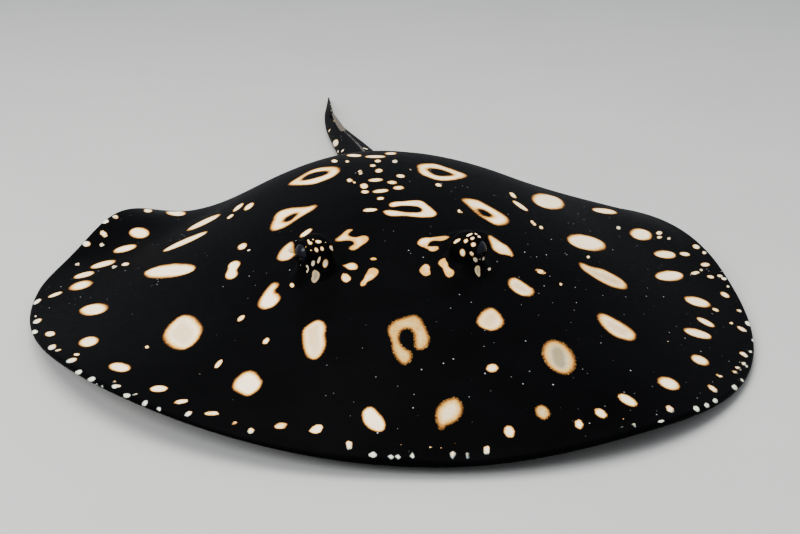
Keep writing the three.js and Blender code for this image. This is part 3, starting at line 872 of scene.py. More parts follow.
# %% Odd spots of the front: their corners, in order round each one
GREAT_SPOT = (
    (161.5, 336), (165, 328), (174.5, 318.4), (183, 313.8), (191.8, 314), (198.8, 319.2), (204, 326),
    (203.8, 332), (198.8, 340.6), (190.3, 348.2), (180.3, 351.6), (168.5, 347.6), (163, 342),
)
KNEE_SPOT = (
    (231, 386.5), (232.5, 380.6), (239, 373.4), (247.6, 369), (256.4, 370.4), (261.6, 377), (264, 382.3),
    (260.6, 389.5), (253.3, 395.3), (246.9, 398), (238.8, 394.6), (232.4, 390.2),
)
BEAN_SPOT = (
    (300.8, 336.5), (301.6, 329.6), (308, 323.5), (316.6, 318.9), (323.6, 320.2), (327.2, 324.8),
    (327.2, 331), (326.2, 335.8), (328.4, 343.3), (325.3, 352.8), (318.4, 359.6), (312.2, 361.2),
    (305.3, 357.8), (302, 350),
)
SLOPED_SPOT = (
    (360.4, 417), (360.8, 410.8), (366.9, 405.4), (373.3, 405.9), (379.2, 411.7), (385.2, 418.3),
    (387.8, 425.4), (385, 431.6), (377.7, 433.4), (369.2, 430), (363.2, 424.7),
)
SHIELD_SPOT = (
    (474.6, 320.8), (480.3, 311.4), (488.4, 306.2), (496.5, 308), (503.1, 316), (506.2, 323.5),
    (499.6, 329.9), (491.7, 332.2), (482.7, 330), (475.9, 324.8),
)
EGG_SPOT = (
    (506, 280), (511.4, 275.7), (518.3, 278), (527.2, 284), (535.4, 289.4), (536, 292.8), (532.4, 297.2),
    (523, 297.2), (513, 292.2), (506.5, 285.8),
)
CLUB_SPOT = (
    (577, 261.8), (582.3, 261.9), (590.4, 265.9), (601.2, 267.6), (616.5, 274.8), (626.6, 282.2),
    (629.4, 288.4), (625.1, 290.6), (614, 288.7), (602.3, 283.3), (588.9, 275.2), (579.9, 268),
)
LONG_SPOT = (
    (595.2, 313.4), (600.8, 311.8), (609.2, 315), (620.9, 321.3), (632.7, 328.5), (638.4, 336.2),
    (635.3, 342), (626.6, 341.5), (613.9, 337), (602.9, 328.8), (596.5, 319.6),
)
KIDNEY_SPOT = (
    (256, 305.6), (258.7, 298.4), (263.5, 291.2), (269.5, 284), (274.7, 280.6), (280.8, 283),
    (280.2, 286.6), (276.6, 289.2), (276.2, 291.8), (280, 293.3), (282.3, 297.4), (279.3, 302.6),
    (273.8, 307.5), (267.2, 309.9), (261.5, 310.4), (257, 308),
)
SLANTED_SPOT = (
    (242.2, 262.6), (239.6, 260), (235.3, 259.8), (230.5, 262), (226.6, 265.5), (227, 270.2), (224, 275.4),
    (224.8, 279.4), (230.4, 280.6), (236.4, 277.6), (239.5, 273.2), (237.5, 269.6), (240, 266.2),
)
LEMON_SPOT = (
    (306.5, 431.4), (311.2, 426.6), (316.8, 423.3), (323.8, 424.4), (324.3, 428), (321, 433.4),
    (314.8, 434.8),
)
HOOK = (
    (386, 330), (387.6, 325.3), (391.4, 321.3), (397, 318.4), (403.1, 316.6), (408.9, 314.8), (414, 313.8),
    (418.8, 315.4), (423.4, 319.6), (426, 325.1), (428.7, 331.2), (431, 337.5), (431.2, 342.8),
    (427.6, 348.2), (422.4, 351), (416.7, 351.3), (413.5, 348.4), (412.8, 343.7), (413.2, 338.3),
    (412.1, 333.9), (410, 330.5), (406.9, 329.4), (403.4, 330.9), (401, 334), (400.3, 338.3),
    (401.8, 343.5), (404.7, 347.1), (408.1, 348.9), (412.3, 350.9), (413.8, 355.2), (413, 359.7),
    (410.5, 363.7), (406.3, 366.2), (401.7, 365.4), (398, 362.4), (394.6, 358.5), (391.8, 353.4),
    (390.1, 347.6), (389.7, 341.9), (388.4, 337), (386.4, 333.5),
)
PEAR_SPOT = (
    (433.6, 412.9), (435, 408.6), (438.8, 404.2), (442.9, 400.1), (447.9, 397.8), (454, 396),
    (458.5, 397.3), (461.5, 400.7), (464.3, 405.3), (465, 410), (463, 414.2), (460.9, 418.5),
    (457.1, 422.4), (452.1, 425), (446, 426.4), (445, 428.2), (444, 430.8), (440.6, 433), (437.3, 431.8),
    (438, 428.4), (437.4, 425.5), (435, 421.8), (433.6, 417.4),
)
TAN_SPOT = (
    (533, 408), (538, 403.5), (545, 404), (550.5, 409), (552, 415), (547, 421), (541, 420.5), (535.5, 416),
)
print("the hook has", len(HOOK), "corners")

# %% Odd spots of the back and the brows
RIGHT_RING = (
    (286.6, 184.2), (295.5, 178.4), (304.6, 172.9), (311.5, 169.4), (320.8, 167), (332, 165.8),
    (339.8, 166.8), (342, 170), (338.5, 174), (332, 177.9), (325, 180.8), (317.4, 183.7), (308.8, 185.4),
    (297, 185.8), (288, 185.6),
)
RIGHT_RING_HOLE = (
    (302.6, 179.3), (305.8, 176.6), (309.6, 174.4), (317.4, 172.2), (326, 171.6), (327.4, 172.7),
    (324, 175), (317.4, 177.1), (310.5, 178.8), (305, 179.8),
)
TEARDROP = (
    (319.4, 205.5), (315.6, 203.8), (307, 206.4), (294.3, 206.8), (285.6, 208.3), (278.5, 211),
    (273.6, 214.9), (272, 220.9), (269, 226.4), (269, 230.2), (273, 231.8), (278.2, 230.5), (286.3, 227.5),
    (299.3, 218.6), (314, 210),
)
TEARDROP_HOLE = (
    (284.6, 219.8), (287, 217.6), (292.1, 214.8), (297, 213.8), (293.3, 217.3), (288.7, 221), (285.6, 221),
)
LEFT_RING = (
    (415.3, 164.8), (419.5, 163.6), (426, 163), (432.5, 163), (439, 164.2), (448.4, 167.4), (458, 170.9),
    (467.3, 174.2), (469, 176.6), (464.4, 178.6), (454.8, 180.5), (445.2, 181.4), (435.4, 180.2),
    (428.9, 177.9), (420.5, 175), (416.8, 171),
)
LEFT_RING_HOLE = (
    (428.2, 169.8), (431.1, 168.6), (438.8, 169.3), (446.4, 171.9), (452.9, 174.8), (445.2, 175.5),
    (437.5, 175.5), (431.8, 172.9),
)
OPEN_RING = (
    (387.3, 204.4), (389.3, 202), (396, 201), (403.7, 201), (410.7, 200), (418.6, 199.6), (424.5, 201.3),
    (428.4, 204.8), (432.9, 208.2), (438.1, 212.2), (437.8, 215.2), (433.8, 217.5), (426, 217.9),
    (416.5, 217.6), (403.7, 216.3), (390.7, 216.8), (384.2, 214.9), (381.1, 211.4), (384.4, 209.4),
    (394.1, 209.9), (405.6, 211.8), (418.2, 212.4), (421.3, 211), (421, 208.8), (416.3, 206.6),
    (406.9, 206), (399.2, 206.6), (392.7, 207.6), (388.6, 206.6),
)
LEAF = (
    (459.8, 198.9), (464, 197.5), (473.3, 198.4), (479.4, 199.9), (486.8, 204.1), (497.8, 210.2),
    (505.7, 215.1), (510.2, 218.8), (510.5, 222.5), (506.8, 225.2), (499.1, 226.6), (493.4, 225.2),
    (487.3, 221.6), (478.8, 216.1), (471.6, 210.6), (466.6, 205.6), (461.8, 201.5),
)
LEAF_HOLE = ((478.5, 209.6), (482, 209.8), (487.5, 212.2), (491, 215.6), (488, 216.6), (483, 214.8))
WYE = (
    (332.4, 240.4), (335, 238.2), (338.8, 235.5), (341.7, 232.6), (344.8, 229.6), (349.4, 227.9),
    (354.5, 228.2), (355, 230.2), (351, 232.7), (349.5, 234.4), (350.5, 235.5), (355, 236.8), (360, 235.5),
    (364.8, 234.6), (369.5, 236), (370.4, 238.8), (367.9, 242.5), (363, 245.7), (358.6, 249.1),
    (354.3, 251.3), (350.4, 251.3), (346.3, 248.4), (347.6, 245.9), (352, 245), (352.6, 243.4),
    (351.2, 241.4), (346.4, 241.2), (337.8, 242.4), (334, 242.1),
)
FORK = (
    (415.4, 242.6), (418, 238.8), (421.8, 237), (427.5, 236.7), (430.4, 237), (433.3, 236.3),
    (439.1, 235.6), (445.6, 235.2), (449.9, 235.6), (451, 236.9), (448.5, 239), (444.7, 241),
    (440.5, 241.9), (435.5, 241.3), (432, 241.7), (429.8, 243.6), (428.6, 245.8), (431.8, 245.9),
    (437.3, 245.2), (440.8, 246.8), (440, 249.6), (436.4, 252), (431.7, 252.3), (427.9, 250.8),
    (425.3, 248.9), (421.8, 247.5), (418, 246.1), (415.7, 244),
)
COMMA = (
    (340, 263.8), (343.5, 264.4), (348.8, 262), (354.6, 261.7), (358.8, 264.3), (359.7, 267.4),
    (357, 270.6), (348.7, 270.7), (344.7, 268.2), (341.5, 266.1),
)
PEBBLE = (
    (343.2, 271.7), (347.5, 273), (352.5, 276.8), (352.1, 280.6), (347.3, 283.4), (342.9, 282.9),
    (339.8, 279.4), (340, 275.2),
)
LEFT_PAIR = (
    (367.9, 268.1), (373.3, 266.6), (379.4, 269), (380.4, 272.5), (376.7, 277.6), (371.4, 281.2),
    (368.8, 281.6), (367.8, 283.4), (365, 287), (361.6, 287.9), (358.5, 285), (359.9, 281.2), (363, 278.6),
    (363.2, 275.7), (365.5, 273.4), (366.5, 271),
)
ROUND_BROW = (
    (418.1, 269.2), (420.9, 265.1), (425.6, 262.6), (429.6, 264.1), (431.7, 267.2), (431, 269.8),
    (432.6, 273.7), (429.6, 276.5), (424.4, 277.1), (420.9, 274.9), (418.3, 271.7),
)
RIGHT_PAIR = (
    (436.7, 263.3), (438.7, 259.5), (443.4, 257.1), (447.4, 257.4), (449.3, 261.4), (449.1, 265),
    (450.4, 267.1), (454, 269), (456, 272), (453.8, 276.9), (449.4, 278.9), (445.1, 277), (442.9, 272.6),
    (442.1, 269), (438.7, 266.2),
)
LEFT_WEDGE = (
    (486.2, 235.3), (488.8, 234), (492, 235.2), (495.3, 237.5), (499.1, 240.1), (503.1, 242.8),
    (507.1, 244.4), (510, 247), (512.2, 250.4), (514.6, 254), (515.3, 256.8), (512.8, 258), (508, 255.9),
    (502.7, 255.4), (498.6, 254.3), (494.4, 251.8), (491, 249.1), (489, 243.2), (487.4, 239),
)
RIGHT_WEDGE = (
    (275, 257.6), (277.8, 252), (281.8, 247.6), (287.2, 243.2), (292.4, 240), (295.2, 242.5),
    (295.2, 247.5), (296.8, 253.6), (294.1, 257.3), (288.6, 260.6), (282, 261.6), (276.8, 261),
)
LEFT_TEAR = (
    (474.9, 266.3), (476.5, 264.8), (480.5, 265.2), (480.8, 271), (480.6, 278), (477.3, 276.8),
    (474.5, 272.5), (474, 269.1),
)
RIGHT_TEAR = (
    (311.6, 271.2), (314.9, 268.7), (319.6, 271.8), (320.7, 275.1), (319, 279.6), (316.2, 283.3),
    (312.8, 283.5), (310.1, 280.2), (311.4, 275.9),
)
print("the brows have", len(WYE), "and", len(FORK), "corners")

# %% [markdown]
# ## Laying the markings on the skin
#
# A ray is cast through the middle of each spot to find where it lies on the body. Round that
# place every point of the skin is projected into the picture and from there onto the plane that
# touches the skin, and its distance to the spot's edge is worked out in millimetres: less than
# zero inside, more outside. The smallest distance to any spot is kept at each point. It varies
# smoothly, so the material can draw a sharp edge, a fringe and a core from it, however coarse
# the mesh is.

# %% Finding a place on the skin
FAR_FROM_SPOTS = 30.0  # mm, where no spot is near
LONGEST_SPOT = 3.2  # length of a spot on the skin, in its widths
WELL_INSIDE = (400, 300)  # a place of the picture that surely shows skin
SPOT_REACH = 1.6  # a spot's distance is worked out this many half lengths from its middle,
SPOT_MARGIN = 8  # and so many mm farther
skin_points = np.array(skin.points)
normals = np.zeros(len(skin_points) * 3, np.float32)
skin_mesh.vertex_normals.foreach_get("vector", normals)
normals = normals.reshape(-1, 3).astype(float)
tree = BVHTree.FromPolygons([tuple(p) for p in skin.points], skin.faces)
to_camera = camera_place - skin_points
to_camera /= np.linalg.norm(to_camera, axis=1)[:, None]
facing = (normals * to_camera).sum(1)
seen_side = smooth_rise(0.0, 0.15, facing)
in_picture = picture_place(skin_points)


def sight_line(across, down):
    """The direction from the camera through a place of the picture."""
    return (view_axis * FOCAL_PIXELS + view_right * (across - PICTURE[0] / 2)
            + view_up * (PICTURE[1] / 2 - down))


def place_on_skin(across, down):
    """Where the line through a place of the picture meets the skin, and the way out of it."""
    for t in np.arange(40) / 60:  # a place just off the rim is moved inwards until it meets the skin
        line = sight_line(mix(across, WELL_INSIDE[0], t), mix(down, WELL_INSIDE[1], t))
        place, normal, _, _ = tree.ray_cast(Vector(camera_place), Vector(line))
        if place is not None:
            return np.array(place), np.array(normal)
    raise ValueError(f"no skin at {across}, {down}")


class Patch:
    """The plane that touches the skin at a place of the picture, with the ways between the two."""

    def __init__(self, across, down):
        self.place, normal = place_on_skin(across, down)
        east = np.cross(normal, view_up)
        self.east = east / np.linalg.norm(east)
        self.north = np.cross(normal, self.east)
        probe = picture_place(self.place + np.array([0 * east, self.east, self.north]))
        self.middle = probe[0]
        self.pixels = np.stack([probe[1] - probe[0], probe[2] - probe[0]], axis=-1)  # for each mm

    def near(self, reach):
        """Numbers of the skin's points within reach of the place."""
        return np.nonzero(np.linalg.norm(skin_points - self.place, axis=1) < reach)[0]

    def from_picture(self, places):
        """Places of the picture on the plane, in mm."""
        return (places - self.middle) @ np.linalg.inv(self.pixels).T

    def from_skin(self, numbers):
        """Points of the skin on the plane: seen ones as they are seen, others square to it."""
        off = skin_points[numbers] - self.place
        square = np.stack([off @ self.east, off @ self.north], axis=-1)
        return mix(square, self.from_picture(in_picture[numbers]), seen_side[numbers][:, None])


print("the camera sees", int((facing > 0).sum()), "of", len(skin_points), "points")


# %% Distances to an oval and to an outline
def oval_edge(across, down, length, breadth, tilt):
    """Numbers of the points near an oval, their distance to its edge, and its half width."""
    patch = Patch(across, down)
    c, s = math.cos(math.radians(tilt)), math.sin(math.radians(tilt))
    half, narrow = length / 2, breadth / 2
    into_oval = np.array([[c / half, s / half], [-s / narrow, c / narrow]])
    turned, shrink, back = np.linalg.svd(into_oval @ patch.pixels)
    shrink[1] = max(shrink[1], shrink[0] / LONGEST_SPOT)  # seen so edge-on that its length is unsure
    per_mm = turned @ np.diag(shrink) @ back
    near = patch.near(SPOT_REACH / shrink[1] + SPOT_MARGIN)
    share = per_mm @ patch.from_skin(near).T
    size = np.maximum(np.linalg.norm(share, axis=0), 1e-3)
    slope = np.linalg.norm(per_mm.T @ (share / size), axis=0)
    return near, (size - 1) / slope, 1 / shrink[0]


def round_off(corners):
    """An outline whose corners are cut twice over, which rounds them."""
    for _ in range(2):
        ahead = np.roll(corners, -1, axis=0)
        corners = np.stack([mix(corners, ahead, 0.25), mix(corners, ahead, 0.75)], axis=1)
        corners = corners.reshape(-1, 2)
    return corners


def outline_edge(outline):
    """The same for an outline; its half width is that of its broadest part."""
    corners = round_off(np.array(outline, float))
    patch = Patch(*corners.mean(0))
    corners = patch.from_picture(corners)
    near = patch.near(np.linalg.norm(corners, axis=1).max() + SPOT_MARGIN)
    points = patch.from_skin(near)
    closest = np.full(len(near), 1e9)
    inside = np.zeros(len(near), bool)
    for start, end in zip(corners, np.roll(corners, -1, axis=0)):
        along = end - start
        off = points - start
        t = np.clip(off @ along / (along @ along), 0, 1)
        closest = np.minimum(closest, np.linalg.norm(off - t[:, None] * along, axis=1))
        if start[1] != end[1]:
            crossed = (start[1] > points[:, 1]) != (end[1] > points[:, 1])
            meets = start[0] + along[0] * (points[:, 1] - start[1]) / along[1]
            inside ^= crossed & (points[:, 0] < meets)
    edge = np.where(inside, -closest, closest)
    return near, edge, max(-edge.min(), 1.0)


def smooth_min(a, b, fillet):
    return -smooth_max(-a, -b, fillet)


print("broadest part of the hook:", round(2 * float(outline_edge(HOOK)[2]), 1), "mm")


# %% Laying the spots
# The last tone greys faint spots and paints shade on the spots low on the knobs and under the eyes.
marks = {name: np.zeros(len(skin_points)) for name in ("peach", "dusky", "stippled", "dim")}
spot_edge = np.full(len(skin_points), FAR_FROM_SPOTS)  # distance to the nearest spot's edge
spot_size = np.full(len(skin_points), 3.0)  # half width of that spot
knob_share = np.full(len(skin_points), 9.0)  # distance to the nearer knob, in its foot's radius
for side in (-1, 1):
    off = upper_places - knob_middle(side)[:2]
    share = np.hypot(off[:, 0], off[:, 1]) / KNOB_FOOT
    knob_share[:len(share)] = np.minimum(knob_share[:len(share)], share)
off_knobs = knob_share > 0.74
on_knobs = knob_share < 1.3
SOFT, CRISP, FINE = 0.6, 0.2, 0.1  # mm over which spots that touch run together


def lay_spots(spots, allowed, fillet=SOFT, **tones):
    """Adds ovals and outlines to the pattern on allowed points, with shares of each tone."""
    for spot in spots:
        plain = isinstance(spot[0], (int, float))
        near, edge, half_width = oval_edge(*spot) if plain else outline_edge(spot)
        near, edge = near[allowed[near]], edge[allowed[near]]
        closer = edge < spot_edge[near]
        spot_size[near[closer]] = half_width
        for name, values in marks.items():
            values[near[closer]] = tones.get(name, 0.0)
        spot_edge[near] = smooth_min(edge, spot_edge[near], fillet)


def cut_holes(outlines):
    """Takes outlines out of the spots again."""
    for outline in outlines:
        near, edge, _ = outline_edge(outline)
        spot_edge[near] = smooth_max(spot_edge[near], -edge, 1.0)


lay_spots(FRONT_SPOTS, off_knobs, peach=0.2)
lay_spots((KNEE_SPOT, SLOPED_SPOT, KIDNEY_SPOT, SLANTED_SPOT, LEMON_SPOT), off_knobs, peach=0.12)
lay_spots((GREAT_SPOT,), off_knobs, peach=0.15, dusky=0.3)
lay_spots((BEAN_SPOT, SHIELD_SPOT, EGG_SPOT, CLUB_SPOT, LONG_SPOT), off_knobs, peach=0.3, dusky=0.35)
lay_spots((HOOK, TAN_SPOT), off_knobs, CRISP, peach=0.5, stippled=1.0)
lay_spots((PEAR_SPOT,), off_knobs, CRISP, peach=0.2, stippled=0.55)
lay_spots(DUSKY_SPOTS, off_knobs, peach=0.2, dusky=1.0, stippled=0.5)
lay_spots(RIGHT_FIN_SPOTS + LEFT_FIN_SPOTS, off_knobs, peach=0.1)
lay_spots(RIGHT_EDGE_SPOTS + LEFT_EDGE_SPOTS, off_knobs, peach=0.1)
lay_spots((RIGHT_RING, TEARDROP, LEFT_RING, OPEN_RING, LEAF), off_knobs, CRISP, peach=0.2)
brow_marks = (WYE, FORK, COMMA, PEBBLE, LEFT_PAIR, ROUND_BROW, RIGHT_PAIR) + BROW_SPOTS
lay_spots(brow_marks, off_knobs, CRISP, peach=0.8, stippled=0.1)
lay_spots((LEFT_WEDGE, RIGHT_WEDGE), off_knobs, CRISP, peach=0.3)
lay_spots(BACK_SPOTS, off_knobs, 0.3, peach=0.2)
lay_spots(TAIL_SPOTS, off_knobs, 0.3, dim=0.3)
lay_spots(FAINT_SPOTS, off_knobs, FINE, dim=0.55)
# Two of these ovals are painted glints of the eyes.
lay_spots(KNOB_SPOTS, on_knobs, FINE)
# Painted shade: the knob spots below are greyed, and the tears under the eyes are greyed and darkened in
# the middle, where the knobs shade them.
lay_spots(FAINT_AND_SHADED_KNOB_SPOTS, on_knobs, FINE, dim=0.5)
lay_spots((LEFT_TEAR, RIGHT_TEAR), on_knobs, peach=0.4, dusky=0.8, stippled=0.4, dim=0.6)
cut_holes((RIGHT_RING_HOLE, TEARDROP_HOLE, LEFT_RING_HOLE, LEAF_HOLE))
print("points inside a spot:", int((spot_edge < 0).sum()))

# %% [markdown]
# ## The rest of the pattern
#
# The rump, the tail and the fins that the camera doesn't see are spotted by the same rules:
# large spots inwards, smaller ones outwards, rows of dots along the edge, and a gap between
# neighbours. Places are drawn at random with a fixed seed, and one that comes too near to a
# spot that is already there is thrown away.

# %% Spots by rule
DISC_END_Y, TAIL_START_Y, DOTS_START_Y, PELVIC_END_Y = 232, 240, 460, 275
RING_FROM = 9  # half width from which a spot may be a ring
RING_CHANCE = 0.3
RING_WALL = 0.3  # half the thickness of a ring, as a share of its half width
RING_HOLE = 0.45
spot_dice = random.Random(11)
skin_x, skin_y, skin_z = skin_points.T
disc_share = np.hypot(skin_x, skin_y) / disc_radius(np.arctan2(skin_x, -skin_y))
upward = normals[:, 2] > -0.2
hidden = upward & (facing < 0.03) & (knob_share > 1.5)
read_off = (facing > 0.03) & (skin_y < DISC_END_Y)  # the camera sees it: its spots are listed
on_disc = hidden & (skin_y < DISC_END_Y) & (np.abs(skin_z) > 3)
on_tail = upward & (skin_y > TAIL_START_Y)
on_pelvic_fins = upward & (disc_share > 1.03) & (skin_y < PELVIC_END_Y) & (np.abs(skin_x) > 20)


def scatter(wanted, allowed, sizes, clearance, tries):
    """Puts up to a number of oval spots on allowed points; sizes are their half widths."""
    placed = 0
    candidates = np.nonzero(allowed)[0]
    for _ in range(tries):
        if placed == wanted:
            break
        middle = candidates[spot_dice.randrange(len(candidates))]
        half = mix(*sizes, spot_dice.random())
        length = half * mix(1.0, 1.55, spot_dice.random())
        turn = spot_dice.uniform(0, PI)
        if spot_edge[middle] < length + clearance:
            continue
        off = skin_points - skin_points[middle]
        away = np.linalg.norm(off, axis=1)
        if (read_off & (away < length + 2)).any():
            continue
        near = np.nonzero((away < SPOT_REACH * length + SPOT_MARGIN) & upward)[0]
        normal = normals[middle]
        east = np.cross(normal, (0.3, 1.0, 0.2))
        east /= np.linalg.norm(east)
        north = np.cross(normal, east)
        a, b = off[near] @ east, off[near] @ north
        u = (a * math.cos(turn) + b * math.sin(turn)) / length
        v = (b * math.cos(turn) - a * math.sin(turn)) / half
        size = np.maximum(np.hypot(u, v), 1e-3)
        edge = (size - 1) * size / np.maximum(np.hypot(u / length, v / half), 1e-6)
        wall = half
        if half > RING_FROM and spot_dice.random() < RING_CHANCE:
            edge = np.maximum(edge, half * RING_HOLE - (edge + half))
            wall = half * RING_WALL
        closer = edge < spot_edge[near]
        spot_edge[near[closer]] = edge[closer]
        spot_size[near[closer]] = wall
        marks["peach"][near[closer]] = 0.15
        placed += 1
    return placed


counts = [
    scatter(17, on_disc & (disc_share < 0.76), (6.5, 11.5), 17, 900),
    scatter(24, on_disc & (disc_share > 0.7) & (disc_share < 0.92), (3.5, 6), 10, 1500),
    scatter(100, on_disc & (disc_share > 0.93), (1.4, 2.6), 3.8, 3000),
    scatter(14, on_disc & (disc_share < 0.93), (1.4, 2.8), 8.0, 1500),
    scatter(7, on_tail & (skin_y < DOTS_START_Y), (1.6, 2.8), 9.0, 1600),
    scatter(12, on_tail, (0.8, 1.3), 7.0, 1600),
    scatter(16, on_pelvic_fins, (0.9, 2.3), 5.0, 900),
]
print("spots by rule:", counts)

# %% Writing the markings to the mesh
belly = smooth_rise(-0.5, -0.8, normals[:, 2]) * smooth_rise(0.86, 0.6, disc_share)
# Painted light: spots on the fins' thin edge take a blue-green tint, as light thrown up from below gives.
cool = smooth_rise(0.972, 0.995, disc_share) * (skin_y < DISC_END_Y)  # the fins' thin edge
markings = {"spot_edge": spot_edge, "spot_size": spot_size, "belly": belly, "cool": cool, **marks}
for name, values in markings.items():
    layer = skin_mesh.attributes.new(name, "FLOAT", "POINT")
    layer.data.foreach_set("value", values.astype(np.float32))
print("attributes:", list(markings))

# %% [markdown]
# ## Writing finishes as sums
#
# A finish is a network of nodes, and most of it is arithmetic. A small class wraps a socket, so
# that an expression such as 1 - edge adds its Math nodes by itself, and one method makes every
# other node. Colours are written as they look on a screen and turned into light values.

# %% The finish maker
def make_node(tree, kind, settings=None, sockets=None):
    """Makes a node with its settings, then fills or links its sockets."""
    node = tree.nodes.new(kind)
    for key, value in (settings or {}).items():
        if key == "stops":
            ramp = node.color_ramp
            while len(ramp.elements) < len(value):
                ramp.elements.new(1.0)
            for element, (place, code) in zip(ramp.elements, value):
                element.position, element.color = place, colour(code)
        else:
            setattr(node, key, value)
    for key, value in (sockets or {}).items():
        if isinstance(value, bpy.types.NodeSocket):
            tree.links.new(value, node.inputs[key])
        else:
            node.inputs[key].default_value = value
    return node


def colour(code):
    """A colour from its screen code, such as c0a080, in light values."""
    screen = [int(code[i:i + 2], 16) / 255 for i in (0, 2, 4)]
    light = [v / 12.92 if v < 0.04045 else ((v + 0.055) / 1.055) ** 2.4 for v in screen]
    return (*light, 1.0)


class Wire:
    """An output socket whose arithmetic adds Math nodes."""

    def __init__(self, finish, socket):
        self.finish, self.socket = finish, socket

    def maths(self, operation, *values):
        return self.finish.add("ShaderNodeMath", {"operation": operation}, dict(enumerate(values)))

    def __add__(self, other):
        return self.maths("ADD", self, other)

    def __sub__(self, other):
        return self.maths("SUBTRACT", self, other)

    def __rsub__(self, other):
        return self.maths("SUBTRACT", other, self)

    def __mul__(self, other):
        return self.maths("MULTIPLY", self, other)

    def __truediv__(self, other):
        return self.maths("DIVIDE", self, other)

    __radd__ = __add__
    __rmul__ = __mul__

    def largest(self, other):
        return self.maths("MAXIMUM", self, other)

    def smallest(self, other):
        return self.maths("MINIMUM", self, other)

    def rise(self, start, end):
        """0 before start, 1 after end and a smooth rise between them."""
        ends = {"From Min": start, "From Max": end, "Value": self}
        if start > end:
            return 1 - self.rise(end, start)
        return self.finish.add("ShaderNodeMapRange", {"interpolation_type": "SMOOTHSTEP"}, ends)


class Finish:
    """A material in the making."""

    def __init__(self, name, **constants):
        self.material = bpy.data.materials.new(name)
        self.material.use_nodes = True
        self.tree = self.material.node_tree
        self.shader = self.tree.nodes["Principled BSDF"]
        for socket, value in constants.items():
            self.shader.inputs[socket.replace("_", " ")].default_value = value

    def add(self, kind, settings=None, sockets=None, output=0):
        """Makes a node and gives one of its outputs; a socket takes a value or a wire."""
        values = {
            key: value.socket if isinstance(value, Wire) else value
            for key, value in (sockets or {}).items()
        }
        return Wire(self, make_node(self.tree, kind, settings, values).outputs[output])

    def feed(self, socket, wire):
        """Links a wire to the material's own shader."""
        self.tree.links.new(wire.socket, self.shader.inputs[socket])

    def place(self):
        """The point's own place, in metres."""
        return self.add("ShaderNodeTexCoord", output="Object")

    def attribute(self, name):
        return self.add("ShaderNodeAttribute", {"attribute_name": name}, output="Fac")

    def noise(self, per_metre, detail=2.0, place=None):
        sockets = {"Vector": place or self.place(), "Scale": per_metre, "Detail": detail}
        return self.add("ShaderNodeTexNoise", None, sockets, output="Fac")

    def cells(self, per_metre):
        """Distance to the nearest of many points strewn at random."""
        sockets = {"Vector": self.place(), "Scale": per_metre, "Randomness": 1.0}
        return self.add("ShaderNodeTexVoronoi", {"feature": "F1"}, sockets, output="Distance")

    def blend(self, share, first, second):
        """A colour between two, which are wires or screen codes."""
        first, second = (colour(c) if isinstance(c, str) else c for c in (first, second))
        return self.add("ShaderNodeMix", {"data_type": "RGBA"}, {0: share, 6: first, 7: second}, 2)

    def bump(self, height, distance, strength=1.0):
        sockets = {"Height": height, "Distance": distance, "Strength": strength}
        return self.add("ShaderNodeBump", None, sockets)


print("mid grey of a screen, as light:", round(colour("808080")[0], 3))

# %% [markdown]
# ## The skin's finish
#
# The skin is black with a breath of blue, satin rather than glossy, rough with tiny denticles,
# and strewn with specks as fine as dust. A spot is cream, with an orange-brown fringe that grows
# with its size and an edge that frays into the black. Its tones come from the mesh: peach ones
# are warmer inside, dusky ones darker in the middle, stippled ones dusted with dark dots, and
# faint ones grey; the grey also paints shade on the spots low on the knobs and under the eyes.
# Spots at the fins' thin edge get a painted blue-green light, as thrown up from below. The
# underside is pale in the middle and dark round its edge.

# %% The skin's finish
FRINGE = (  # from the edge of a spot inwards
    (0.0, "100603"), (0.14, "4a2a10"), (0.32, "986428"),
    (0.54, "d9ad5e"), (0.78, "f0d296"), (1.0, "fbe9c8"),
)
PEACH, STIPPLE, TAN, DUSK = "cf9840", "8c743c", "cfa058", "67624a"
# The last colour of the next line greys faint spots and paints shade on the spots low on the knobs.
# The third colour of the next line is painted light: the blue-green thrown up from below onto spots at the
# fins' edge.
MOTTLE, DUST, EDGE_BOUNCE_TINT, FAINT_AND_SHADE_GREY = "c08e4c", "7a5a28", "b4d2d0", "6c7062"
BLACK, BLUE_BLACK, SPECK = "010101", "040405", "b9bcc2"
BELLY, PALE_BELLY = "b9b2ad", "d8d2cb"


def spot_depth(finish, size, stippled):
    """How deep in a spot a point lies, in mm, with the spot's edge frayed by noise."""
    wide = (size / 8).smallest(1.0)
    fray = ((finish.noise(110, 1.0) - 0.5) * 1.3 + (finish.noise(420, 2.0) - 0.5) * 0.8) * wide
    fine = (finish.noise(1300, 2.0) - 0.5) * (0.4 + stippled * 0.35) * (size / 3).smallest(1.0)
    trim = (size * 0.07).smallest(0.25) + finish.attribute("peach") * 0.3
    return 0.0 - (finish.attribute("spot_edge") + fray + fine + trim)


